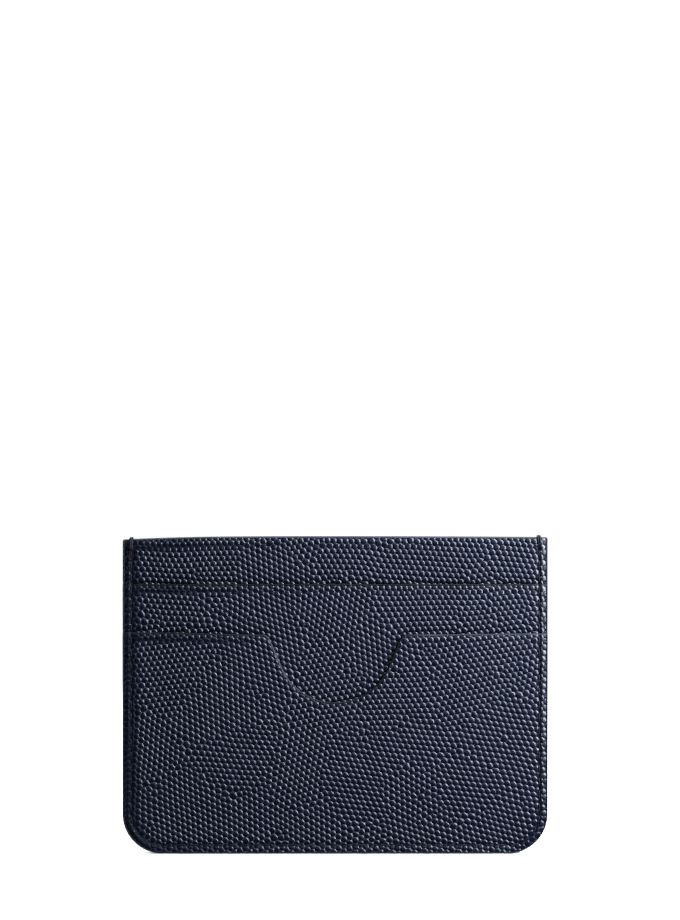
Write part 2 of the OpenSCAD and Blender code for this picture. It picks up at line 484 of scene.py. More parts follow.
    def pressed(self, cut: LayerCut, x: np.ndarray, z: np.ndarray) -> np.ndarray:
        """How far sewing, creasing and the next pocket push a layer's face inwards.

        The border swells to a low lip and rolls down to the edge, less along the bottom; the
        seam is a narrow groove in a wide dip; a crease runs below each mouth, deeper toward the
        left; and the face dips toward the mouth that covers it.
        """
        i = self.inset(x, z)
        bare = ease((z - cut.covered_to + self.cover_lap) / self.cover_fade)
        roll = self.rolled(i) - self.lip * hump((i - self.lip_at * self.seam_in) / self.lip_w)
        roll = roll * self.side_share(x)
        seam = self.groove_depth * hump((i - self.seam_in) / self.groove_w)
        pull = self.seam_pull * hump((i - self.seam_in) / self.seam_pull_w)
        ends = ease((i - self.seam_in) / self.seam_fade)
        line = hump((self.below_mouth(cut, x, z) - cut.crease_drop) / self.crease_w)
        share = self.crease_share.at(ease((-x - self.crease_from) / self.crease_reach))
        crease = cut.crease_depth * share * self.off_notch(cut, x) * ends * line
        over = np.maximum(z - cut.covered_to, 0.0)
        beside = 1.0
        if cut.layer is Layer.UPPER:
            beside = ease((np.abs(x) - self.cover_notch) / self.cover_notch_fade)
        dip = self.mouth_dip * beside * np.exp(-over / self.mouth_dip_w)
        dip = dip * (cut.layer is not Layer.LOWER) * ends
        return bare * (roll + seam + pull) + crease + dip

    def side_share(self, x: np.ndarray) -> np.ndarray:
        """How strongly the border rolls over: fully at the sides, a quarter of it at the bottom."""
        from_corner = np.abs(x) - self.half_w + self.corner_r
        return self.border_turn.at(ease(from_corner / (self.corner_fade * self.corner_r)))

    def face(self, cut: LayerCut, x: np.ndarray, z: np.ndarray) -> np.ndarray:
        """Distance of a layer's outer face from the middle plane, before the grain."""
        return cut.leather_out + self.swell(cut, x, z) - self.pressed(cut, x, z)

    def outermost(self, x: np.ndarray, z: np.ndarray) -> np.ndarray:
        """Distance of whichever layer's face is seen at (x, z), away from the notch."""
        faces = [self.face(self.cuts[layer], x, z) for layer in Layer]
        upper, lower = self.cuts[Layer.UPPER].mouth, self.cuts[Layer.LOWER].mouth
        return np.select([z > upper, z > lower], faces[:2], faces[2])

    def shade(self, cut: LayerCut, x: np.ndarray, z: np.ndarray) -> np.ndarray:
        """Painted shade, 0 to 1: how much darker the grain's colour and valleys are painted just above
        a mouth and in the seam's groove, where shade falls.
        """
        groove = hump((self.inset(x, z) - self.seam_in) / self.groove_shade_w) * self.side_share(x)
        near = np.zeros_like(z)
        if cut.layer is not Layer.LOWER:
            notched = cut.layer is Layer.UPPER
            mouth = self.mouth_height(Layer.LOWER, x, 0.0) if notched else cut.covered_to
            near = hump(np.maximum(z - mouth, 0.0) / self.mouth_shade_reach)
        return np.clip(self.mouth_shade * near + self.groove_shade * groove, 0.0, 1.0)

    def relief_strength(self, cut: LayerCut, x: np.ndarray, z: np.ndarray) -> np.ndarray:
        """How much of the grain's height is left: less where the leather was pressed flat.

        It drops at the seam, in the border, in the strip between a mouth and its crease, and
        at the crease itself. Toward the left it drops further, along the bottom less.
        """
        i = self.inset(x, z)
        from_seam = i - self.seam_in
        below = self.below_mouth(cut, x, z) - cut.crease_drop
        clear = self.off_notch(cut, x)
        left = ease((-x - self.flat_from) / self.flat_reach)
        share = self.side_share(x)
        pressed_away = (
            self.flat_inside.at(left) * share * hump(from_seam / self.inside_w) * (i > self.seam_in),
            self.flat_border.at(left) * self.flat_border_turn.at(share) * (i <= self.seam_in),
            self.flat_strip.at(left) * clear * ease(-below / self.strip_w),
            self.flat_crease.at(left) * clear * hump(below / self.crease_flat_w),
            self.flat_groove.at(share) * hump(from_seam / self.groove_flat_w),
        )
        keep = np.prod([1.0 - lost for lost in pressed_away], axis=0)
        return np.clip(keep, self.least_relief, 1.0)


# ---------------------------------------------------------------- the pebbled grain


def triangulate(points: np.ndarray) -> np.ndarray:
    """The Delaunay triangles of flat points, as rows of three numbers, anticlockwise."""
    found = delaunay_2d_cdt(points.tolist(), [], [], 0, 1e-7)
    return np.array(found[2], np.int64)


@dataclass
class PebbleField:
    """Pressed pebbles on one side's leather: even cells packed in patches that lie askew.

    The cells are the Voronoi diagram of the pebbles' centres. Inside a patch the centres form
    a honeycomb; where two patches meet, pebbles are squeezed until they fit.
    """

    seed: int
    low: tuple[float, float] = (-53.5, -3.5)
    high: tuple[float, float] = (53.5, 78.5)
    pitch: float = 1.4
    patch: float = 15.0
    jitter: float = 0.08
    settle: int = 5
    relief: float = 0.15
    dome_power: float = 3.8
    corner_rim: float = 1.12
    rings: tuple[float, float] = (0.88, 0.64)
    ring_round: float = 0.95
    tilt: float = 0.09
    heights: tuple[float, float] = (0.8, 1.0)
    crowding: float = 0.66
    easing: float = 0.6

    def __post_init__(self) -> None:
        """Packs the centres and works out the cells."""
        self.draw = np.random.default_rng(self.seed)
        self.centres = self.pack()
        self.cells()

    def pack(self) -> np.ndarray:
        """The pebbles' centres.

        Each patch takes the points of its own turned honeycomb that lie nearer to it than to
        any other patch. One of every pair that is far too close is dropped. Then each centre
        moves a few times toward the middle of its Delaunay neighbours, except at the border.
        """
        low, high = np.array(self.low), np.array(self.high)
        count = int(np.prod(high - low) / self.patch**2)
        seats = self.draw.uniform(low, high, (count, 2))
        for _ in range(4):
            gap = seats[:, None] - seats[None]
            near = np.linalg.norm(gap, axis=2) + 1e9 * np.eye(count)
            push = gap / near[..., None] * np.clip(self.patch - near, 0, None)[..., None]
            seats = np.clip(seats + 0.25 * push.sum(1), low, high)
        turns = self.draw.uniform(0.0, math.pi / 3, count)
        reach = int(2.2 * self.patch / self.pitch)
        i, j = np.meshgrid(np.arange(-reach, reach + 1), np.arange(-reach, reach + 1))
        comb = np.stack([i + 0.5 * j, math.sqrt(0.75) * j], -1).reshape(-1, 2) * self.pitch
        chosen = []
        for k in range(count):
            c, s = math.cos(turns[k]), math.sin(turns[k])
            here = comb @ np.array([[c, s], [-s, c]]) + seats[k]
            here = here[np.all((here > low) & (here < high), axis=1)]
            nearest = np.linalg.norm(here[:, None] - seats[None], axis=2).argmin(1)
            chosen.append(here[nearest == k])
        points = np.concatenate(chosen)
        points += self.draw.normal(0.0, self.jitter * self.pitch, points.shape)
        corners = triangulate(points)
        pairs = np.concatenate([corners[:, [0, 1]], corners[:, [1, 2]], corners[:, [2, 0]]])
        apart = np.linalg.norm(points[pairs[:, 0]] - points[pairs[:, 1]], axis=1)
        close = pairs[(apart < self.crowding * self.pitch) & (pairs[:, 0] > pairs[:, 1])]
        keep = np.ones(len(points), bool)
        keep[close[:, 0]] = False
        points = points[keep]
        edge = np.any((points < low + self.pitch) | (points > high - self.pitch), axis=1)
        for _ in range(self.settle):
            corners = triangulate(points)
            total, number = np.zeros_like(points), np.zeros(len(points))
            for a, b in ((0, 1), (1, 2), (2, 0)):
                np.add.at(total, corners[:, a], points[corners[:, b]])
                np.add.at(number, corners[:, a], 1)
            middle = total / np.maximum(number, 1)[:, None]
            points = np.where(edge[:, None], points, points + self.easing * (middle - points))
        return points

    def cells(self) -> None:
        """The cells' corners, and which cell lies across each side.

        A cell's corners are the centres of the circles through each Delaunay triangle. Half
        edge 3k+j runs from corner j of triangle k to the next corner, and its twin runs back.
        """
        p = self.centres
        self.triangles = triangulate(p)
        a, b, c = (p[self.triangles[:, k]] for k in range(3))
        ab, ac = b - a, c - a
        twice = 2 * (ab[:, 0] * ac[:, 1] - ab[:, 1] * ac[:, 0])
        twice = np.where(np.abs(twice) < 1e-9, 1e-9, twice)
        sb, sc = (ab**2).sum(1), (ac**2).sum(1)
        centre = np.stack([ac[:, 1] * sb - ab[:, 1] * sc, ab[:, 0] * sc - ac[:, 0] * sb], -1)
        centre = a + np.clip(centre / twice[:, None], -1.5 * self.pitch, 1.5 * self.pitch)
        self.corners = centre
        start = self.triangles.ravel()
        end = np.roll(self.triangles, -1, axis=1).ravel()
        size = len(p)
        order = np.argsort(start * size + end)
        keys = (start * size + end)[order]
        back = end * size + start
        at = np.clip(np.searchsorted(keys, back), 0, len(keys) - 1)
        self.twin = np.where(keys[at] == back, order[at], -1)
        self.tall = self.draw.uniform(*self.heights, size)
        self.tone = self.draw.uniform(0.0, 1.0, size)
        self.lean = self.draw.normal(0.0, self.tilt, (size, 2))

    def skin(self, fine: Callable[[np.ndarray], np.ndarray]) -> dict:
        """The grain as triangles on the flat leather.

        A dome's height is 1 minus the rim value to a power, times the pebble's own height, plus
        its lean. Every side of every cell makes a sector from the pebble's centre, cut by two rings and
        by a line to the side's middle. Coarse cells have no rings.

        Args:
            fine: says which centres' cells get rings.

        Returns:
            Flat places, rim (0 at a centre, 1 at a valley), height (1 on a full dome, 0 in a
            valley), tone, and the triangles.
        """
        edges = np.flatnonzero(self.twin >= 0)
        twin = self.twin[edges]
        site = self.triangles.ravel()[edges]
        back = 3 * (twin // 3) + (twin + 1) % 3
        centre, corner = self.centres, self.corners
        middle = (corner[edges // 3] + corner[twin // 3]) / 2
        spokes_from = centre[self.triangles.ravel()]
        spokes_to = np.repeat(corner, 3, axis=0)
        mids = np.zeros((3 * len(corner), 2))
        mids[edges] = middle
        places, rims = [centre, corner, mids], [0.0, self.corner_rim, 1.0]
        owners = [np.arange(len(centre)), None, None]
        for t in self.rings:
            s = t * self.ring_round
            places += [spokes_from + s * (spokes_to - spokes_from),
                       spokes_from + t * (mids - spokes_from)]
            rims += [t, t]
            owners += [self.triangles.ravel()] * 2
        sizes = [len(v) for v in places]
        first = np.concatenate([[0], np.cumsum(sizes)])
        rim = np.repeat(rims, sizes)
        height = 1.0 - rim**self.dome_power
        tone = np.full(len(rim), 0.5)
        flat = np.concatenate(places)
        for k, owner in enumerate(owners):
            if owner is None:
                continue
            part = slice(first[k], first[k + 1])
            off = flat[part] - centre[owner]
            slope = (off * self.lean[owner]).sum(1) / self.pitch
            height[part] = height[part] * self.tall[owner] + slope * (1 - rim[part])
            tone[part] = tone[part] + (self.tone[owner] - 0.5) * (1 - rim[part] ** 4)
        hub, right, left = site, first[1] + twin // 3, first[1] + edges // 3
        mid = first[2] + np.minimum(edges, twin)
        (r1, m1, l1), (r2, m2, l2) = (
            (first[3 + 2 * k] + back, first[4 + 2 * k] + edges, first[3 + 2 * k] + edges)
            for k in range(len(self.rings)))
        detailed = [(r1, right, mid), (r1, mid, m1), (m1, mid, left), (m1, left, l1),
                    (r2, r1, m1), (r2, m1, m2), (m2, m1, l1), (m2, l1, l2),
                    (hub, r2, m2), (hub, m2, l2)]
        plain = [(hub, right, mid), (hub, mid, left)]
        close = fine(centre)[site]
        faces = np.concatenate([np.stack(f, -1)[close] for f in detailed]
                               + [np.stack(f, -1)[~close] for f in plain])
        return {"flat": flat, "rim": rim, "height": height, "tone": tone, "faces": faces}


# ---------------------------------------------------------------- materials


class Wiring:
    """Adds nodes to one tree and joins them."""

    def __init__(self, tree: bpy.types.NodeTree) -> None:
        """Works on tree."""
        self.tree = tree

    def node(self, kind: str, **settings: object) -> bpy.types.Node:
        """A new node of a kind, with its settings."""
        made = self.tree.nodes.new(kind)
        for key, value in settings.items():
            setattr(made, key, value)
        return made

    def put(self, value: object, socket: bpy.types.NodeSocket) -> None:
        """Joins an output to a socket, or sets a plain value on it."""
        if isinstance(value, bpy.types.NodeSocket):
            self.tree.links.new(value, socket)
        else:
            socket.default_value = value

    def math(self, operation: str, *values: object, clamp: bool = False) -> bpy.types.NodeSocket:
        """The result of a Math node on values, which are outputs or numbers."""
        made = self.node("ShaderNodeMath", operation=operation, use_clamp=clamp)
        for value, socket in zip(values, made.inputs):
            self.put(value, socket)
        return made.outputs[0]

    def vector(self, operation: str, *values: object) -> bpy.types.Node:
        """A Vector Math node on values, which are outputs or vectors."""
        made = self.node("ShaderNodeVectorMath", operation=operation)
        for value, socket in zip(values, made.inputs):
            self.put(value, socket)
        return made

    def blend(self, share: object, first: object, second: object,
              how: str = "MIX") -> bpy.types.NodeSocket:
        """A colour mixed from two."""
        made = self.node("ShaderNodeMix", data_type="RGBA", blend_type=how)
        for value, name in ((share, 0), (first, 6), (second, 7)):
            self.put(value, made.inputs[name])
        return made.outputs[2]

    def scaled(self, value: object, low: float, high: float, to_low: float,
               to_high: float) -> bpy.types.NodeSocket:
        """A value moved from one range to another, held at its ends."""
        made = self.node("ShaderNodeMapRange")
        for v, socket in zip((value, low, high, to_low, to_high), made.inputs):
            self.put(v, socket)
        return made.outputs[0]

    def noise(self, place: object, scale: float, detail: float = 2.0,
              rough: float = 0.5) -> bpy.types.NodeSocket:
        """Noise of 0 to 1 at a place."""
        made = self.node("ShaderNodeTexNoise")
        self.put(place, made.inputs["Vector"])
        made.inputs["Scale"].default_value = scale
        made.inputs["Detail"].default_value = detail
        made.inputs["Roughness"].default_value = rough
        return made.outputs["Fac"]

    def place(self) -> bpy.types.NodeSocket:
        """The place on the object, in metres."""
        return self.node("ShaderNodeTexCoord").outputs["Object"]

    def mark(self) -> bpy.types.NodeSocket:
        """The three numbers that the mesh's points carry."""
        return self.node("ShaderNodeAttribute", attribute_name=MARK).outputs["Vector"]

    def split(self, vector: object) -> dict[str, bpy.types.NodeSocket]:
        """A vector's three parts by name."""
        made = self.node("ShaderNodeSeparateXYZ")
        self.put(vector, made.inputs[0])
        return {axis: made.outputs[axis] for axis in "XYZ"}


class Group(Wiring):
    """A shader node group with named inputs and outputs."""

    def __init__(self, name: str, inputs: dict, outputs: dict) -> None:
        """Makes the group.

        Args:
            name: its name.
            inputs: socket kinds by name, each with a default or None.
            outputs: socket kinds by name.
        """
        tree = bpy.data.node_groups.new(name, "ShaderNodeTree")
        super().__init__(tree)
        for label, (kind, default) in inputs.items():
            made = tree.interface.new_socket(label, in_out="INPUT", socket_type=kind)
            if default is not None:
                made.default_value = default
        for label, kind in outputs.items():
            tree.interface.new_socket(label, in_out="OUTPUT", socket_type=kind)
        self.given = self.node("NodeGroupInput").outputs
        self.wanted = self.node("NodeGroupOutput").inputs

    def use(self, wiring: Wiring, **values: object) -> bpy.types.NodeGroup:
        """Places the group in another tree, with values by input name, _ standing for a space."""
        made = wiring.node("ShaderNodeGroup")
        made.node_tree = self.tree
        for key, value in values.items():
            wiring.put(value, made.inputs[key.replace("_", " ")])
        return made


SCALAR, VECTOR = "NodeSocketFloat", "NodeSocketVector"


def pebble_group() -> Group:
    """The pebbles' fine shape, from the rim value that the leather's points carry.

    The height is 1 minus the rim to a power, times the strength; the valley mask rises where
    the rim value nears 1.
    """
    g = Group("pebble_grain", {"Rim": (SCALAR, 0.0), "Strength": (SCALAR, 1.0),
                               "Power": (SCALAR, 4.0)}, {"Height": SCALAR, "Valley": SCALAR})
    dome = g.math("SUBTRACT", 1.0, g.math("POWER", g.given["Rim"], g.given["Power"]))
    g.put(g.math("MULTIPLY", dome, g.given["Strength"]), g.wanted["Height"])
    valley = g.scaled(g.given["Rim"], 0.76, 1.0, 0.0, 1.0)
    g.put(g.math("MULTIPLY", valley, g.given["Strength"]), g.wanted["Valley"])
    return g


def fine_group() -> Group:
    """Fine skin texture: two sizes of noise, summed as a height and as a mottle of colour."""
    g = Group("fine_skin", {"Place": (VECTOR, None), "Size": (SCALAR, 1.0)},
              {"Height": SCALAR, "Mottle": SCALAR})
    near = g.vector("SCALE", g.given["Place"])
    g.put(g.given["Size"], near.inputs["Scale"])
    small = g.noise(near.outputs[0], 9000.0, 3.0, 0.6)
    large = g.noise(near.outputs[0], 260.0, 3.0, 0.55)
    g.put(g.math("MULTIPLY_ADD", small, 0.7, g.math("MULTIPLY", large, 0.3)), g.wanted["Height"])
    g.put(g.math("MULTIPLY_ADD", large, 0.65, g.math("MULTIPLY", small, 0.35)), g.wanted["Mottle"])
    return g


def weave_group() -> Group:
    """Plain weave: warp and weft ridges as sine waves that take turns on a checkerboard."""
    g = Group("plain_weave", {"Place": (VECTOR, None), "Threads": (SCALAR, 3.0)},
              {"Height": SCALAR, "Over": SCALAR})
    parts = g.split(g.given["Place"])
    rate = g.math("MULTIPLY", g.given["Threads"], math.pi * 1000.0)
    across = g.math("MULTIPLY", parts["X"], rate)
    up = g.math("MULTIPLY", parts["Z"], rate)
    warp = g.math("ABSOLUTE", g.math("SINE", across))
    weft = g.math("ABSOLUTE", g.math("SINE", up))
    turn = g.math("MULTIPLY", g.math("COSINE", g.math("MULTIPLY", across, 0.5)),
                  g.math("COSINE", g.math("MULTIPLY", up, 0.5)))
    over = g.math("GREATER_THAN", turn, 0.0)
    mixed = g.math("ADD", g.math("MULTIPLY", warp, over),
                   g.math("MULTIPLY", weft, g.math("SUBTRACT", 1.0, over)))
    g.put(mixed, g.wanted["Height"])
    g.put(over, g.wanted["Over"])
    return g


def ply_group() -> Group:
    """Twisted thread: stripes that run round the strand as they run along it.

    The piece's marks give the way along in millimetres and the way round in turns. Three
    plies lean across the strand, and the stripe is the absolute sine of their sum.
    """
    g = Group("thread_ply", {"Along and round": (VECTOR, None)}, {"Height": SCALAR, "Shade": SCALAR})
    parts = g.split(g.given["Along and round"])
    lean = g.math("MULTIPLY_ADD", parts["Y"], 3.0, g.math("MULTIPLY", parts["X"], 1.9))
    stripe = g.math("ABSOLUTE", g.math("SINE", g.math("MULTIPLY", lean, math.pi)))
    hair = g.noise(g.given["Along and round"], 22.0, 2.0)
    g.put(g.math("MULTIPLY_ADD", hair, 0.2, stripe), g.wanted["Height"])
    g.put(g.scaled(stripe, 0.0, 0.8, 0.0, 1.0), g.wanted["Shade"])
    return g


@dataclass(frozen=True)
class Groups:
    """The shared node groups."""

    pebbles: Group
    fine: Group
    weave: Group
    ply: Group


@dataclass(frozen=True)
class Finish:
    """What every finish has: its name, two tones, gloss and how deep its texture is."""

    name: str
    deep: tuple[float, float, float, float]
    light: tuple[float, float, float, float]
    rough: float
    bump: float
    specular: float = 0.5
    coat: float = 0.0
    coat_rough: float = 0.2
    shine: tuple[float, float, float, float] = (1.0, 1.0, 1.0, 1.0)

    def start(self) -> tuple[bpy.types.Material, Wiring, bpy.types.Node]:
        """A new material with its shader in place and its even numbers set."""
        material = bpy.data.materials.new(self.name)
        material.use_nodes = True
        wiring = Wiring(material.node_tree)
        shader = material.node_tree.nodes["Principled BSDF"]
        shader.inputs["Roughness"].default_value = self.rough
        shader.inputs["Specular IOR Level"].default_value = self.specular
        shader.inputs["Specular Tint"].default_value = self.shine
        shader.inputs["Coat Weight"].default_value = self.coat
        shader.inputs["Coat Roughness"].default_value = self.coat_rough
        material.diffuse_color = self.light
        return material, wiring, shader

    def vary_gloss(self, w: Wiring, mottle: object, less: float,
                   more: float) -> bpy.types.NodeSocket:
        """The roughness, from a little below its even number to a little above it."""
        return w.scaled(mottle, 0.3, 0.7, self.rough - less, self.rough + more)

    def raise_by(self, w: Wiring, height: object, depth: float,
                 under: object = None) -> bpy.types.NodeSocket:
        """A Bump node's normal for a height of 0 to 1 and a depth in millimetres."""
        bump = w.node("ShaderNodeBump")
        bump.inputs["Strength"].default_value = 1.0
        bump.inputs["Distance"].default_value = depth * MM
        w.put(height, bump.inputs["Height"])
        if under is not None:
            w.put(under, bump.inputs["Normal"])
        return bump.outputs[0]


@dataclass(frozen=True)
class LeatherFinish(Finish):
    """Pebbled leather: dark domes in a net of valleys painted paler, a painted sheen for fill light on
    the pebbles' flanks, under a satin skin; painted shade darkens both above the mouths and in the
    seam.
    """

    # painted sheen: the valleys' paler colour stands in for fill light caught on the pebbles' flanks
    valley: tuple[float, float, float, float] = colour(38, 44, 62)

    def build(self, groups: Groups) -> bpy.types.Material:
        """Makes the material from the grain's marks and the fine skin."""
        material, w, shader = self.start()
        mark = w.split(w.mark())
        rim, strength, tone_and_painted_shade = mark["X"], mark["Y"], mark["Z"]
        pebble = groups.pebbles.use(w, Rim=rim, Strength=strength, Power=5.0)
        skin = groups.fine.use(w, Place=w.place(), Size=1.0)
        tone = w.scaled(skin.outputs["Mottle"], 0.35, 0.65, 0.0, 0.5)
        # the domes' tone is painted darker where the mark carries painted shade
        tone = w.math("MULTIPLY_ADD", tone_and_painted_shade, 0.5, tone)
        base = w.blend(tone, self.deep, self.light)
        # painted sheen in the valleys, held back where the mark carries painted shade
        pale = w.math("MULTIPLY", pebble.outputs["Valley"], tone_and_painted_shade)
        pale = w.math("MULTIPLY", pale, 2.0, clamp=True)
        w.put(w.blend(pale, base, self.valley), shader.inputs["Base Color"])
        dull = w.math("MULTIPLY_ADD", pale, 0.1, self.rough)
        dull = w.math("MULTIPLY_ADD", tone_and_painted_shade, 0.06, dull)
        w.put(w.math("SUBTRACT", dull, 0.03), shader.inputs["Roughness"])
        fine = self.raise_by(w, skin.outputs["Height"], 0.005)
        w.put(self.raise_by(w, pebble.outputs["Height"], self.bump, fine), shader.inputs["Normal"])
        return material


@dataclass(frozen=True)
class PaintFinish(Finish):
    """Edge paint: a smooth, slightly rippled film, lighter in places by the piece's marks: a little
    wear, and painted highlights where light catches the edge.
    """

    def build(self, groups: Groups) -> bpy.types.Material:
        """Makes the material from the fine skin at two sizes."""
        material, w, shader = self.start()
        skin = groups.fine.use(w, Place=w.place(), Size=0.35)
        mottled = w.scaled(skin.outputs["Mottle"], 0.35, 0.65, 0.5, 1.0)
        # painted highlight and a little wear: the mark lightens the coat toward its light tone
        wear_and_highlight = w.math("MULTIPLY", mottled, w.split(w.mark())["X"], clamp=True)
        w.put(w.blend(wear_and_highlight, self.deep, self.light), shader.inputs["Base Color"])
        w.put(self.vary_gloss(w, skin.outputs["Mottle"], 0.06, 0.08), shader.inputs["Roughness"])
        w.put(self.raise_by(w, skin.outputs["Height"], self.bump), shader.inputs["Normal"])
        return material


@dataclass(frozen=True)
class ThreadFinish(Finish):
    """Waxed polyester thread: three twisted plies, darker between them."""

    def build(self, groups: Groups) -> bpy.types.Material:
        """Makes the material from the ply stripes."""
        material, w, shader = self.start()
        ply = groups.ply.use(w)
        w.put(w.mark(), ply.inputs[0])
        w.put(w.blend(ply.outputs["Shade"], self.deep, self.light), shader.inputs["Base Color"])
        w.put(w.scaled(ply.outputs["Shade"], 0.0, 1.0, self.rough + 0.15, self.rough),
              shader.inputs["Roughness"])
        w.put(self.raise_by(w, ply.outputs["Height"], self.bump), shader.inputs["Normal"])
        return material


@dataclass(frozen=True)
class ClothFinish(Finish):
    """Thin woven cloth or tape: a plain weave with a soft mottle."""

    threads: float = 3.0

    def build(self, groups: Groups) -> bpy.types.Material:
        """Makes the material from the plain weave and the fine skin."""
        material, w, shader = self.start()
        place = w.place()
        weave = groups.weave.use(w, Place=place, Threads=self.threads)
        skin = groups.fine.use(w, Place=place, Size=0.6)
        tone = w.math("MULTIPLY_ADD", weave.outputs["Over"], 0.35,
                      w.math("MULTIPLY", skin.outputs["Mottle"], 0.6))
        base = w.blend(tone, self.deep, self.light)
        gap = w.scaled(weave.outputs["Height"], 0.0, 0.35, 0.6, 0.0)
        w.put(w.blend(gap, base, (0.002, 0.002, 0.004, 1.0)), shader.inputs["Base Color"])
        w.put(self.vary_gloss(w, skin.outputs["Mottle"], 0.05, 0.08), shader.inputs["Roughness"])
        w.put(self.raise_by(w, weave.outputs["Height"], self.bump), shader.inputs["Normal"])
        return material


@dataclass(frozen=True)
class BoardFinish(Finish):
    """Pressed fibre board: pale flecks in a brown ground."""

    def build(self, groups: Groups) -> bpy.types.Material:
        """Makes the material from stretched noise and the fine skin."""
        material, w, shader = self.start()
        place = w.place()
        skin = groups.fine.use(w, Place=place, Size=0.5)
        drawn = w.node("ShaderNodeMapping")
        w.put(place, drawn.inputs["Vector"])
        drawn.inputs["Scale"].default_value = (1.0, 1.0, 4.0)
        fleck = w.scaled(w.noise(drawn.outputs[0], 700.0, 4.0, 0.7), 0.45, 0.62, 0.0, 1.0)
        w.put(w.blend(fleck, self.deep, self.light), shader.inputs["Base Color"])
        w.put(self.vary_gloss(w, skin.outputs["Mottle"], 0.05, 0.05), shader.inputs["Roughness"])
        w.put(self.raise_by(w, skin.outputs["Height"], self.bump), shader.inputs["Normal"])
        return material


LEATHER = LeatherFinish("leather", colour(1, 3, 14), colour(5, 8, 27), 0.26, 0.06,
                        shine=(0.84, 0.9, 1.0, 1.0))
PAINT = PaintFinish("edge_paint", colour(2, 3, 8), colour(68, 76, 94), 0.5, 0.012,
                    specular=0.2, shine=(0.84, 0.9, 1.0, 1.0))
THREAD = ThreadFinish("thread", colour(2, 3, 8), colour(13, 16, 29), 0.5, 0.03, specular=0.25,
                      shine=(0.84, 0.9, 1.0, 1.0))
LINING = ClothFinish("lining", colour(24, 27, 44), colour(46, 50, 74), 0.7, 0.04, threads=3.2)
BOARD = BoardFinish("board", colour(96, 80, 60), colour(150, 132, 106), 0.85, 0.03)
TAPE = ClothFinish("tape", colour(176, 170, 154), colour(226, 221, 207), 0.6, 0.02, threads=1.6)


class Wardrobe:
    """Every finish of the holder, built once."""

    def __init__(self) -> None:
        """Builds the groups and the materials."""
        self.groups = Groups(pebble_group(), fine_group(), weave_group(), ply_group())
        finishes = {Slot.LEATHER: LEATHER, Slot.PAINT: PAINT, Slot.THREAD: THREAD,
                    Slot.LINING: LINING, Slot.BOARD: BOARD, Slot.TAPE: TAPE}
        self.made = {slot: finish.build(self.groups) for slot, finish in finishes.items()}

    def __getitem__(self, slot: Slot) -> bpy.types.Material:
        """The material of a slot."""
        return self.made[slot]

    def dress(self, node: str, slot: Slot) -> None:
        """Gives a CAD node that stays its finish."""
        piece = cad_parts[node]
        if not piece.material_slots:
            piece.data.materials.append(self.made[slot])
        for holder in piece.material_slots:
            holder.link = "OBJECT"
            holder.material = self.made[slot]
        LOG.info("%s: kept from the frame, in %s", node, slot.value)


# ---------------------------------------------------------------- leather, lining and board


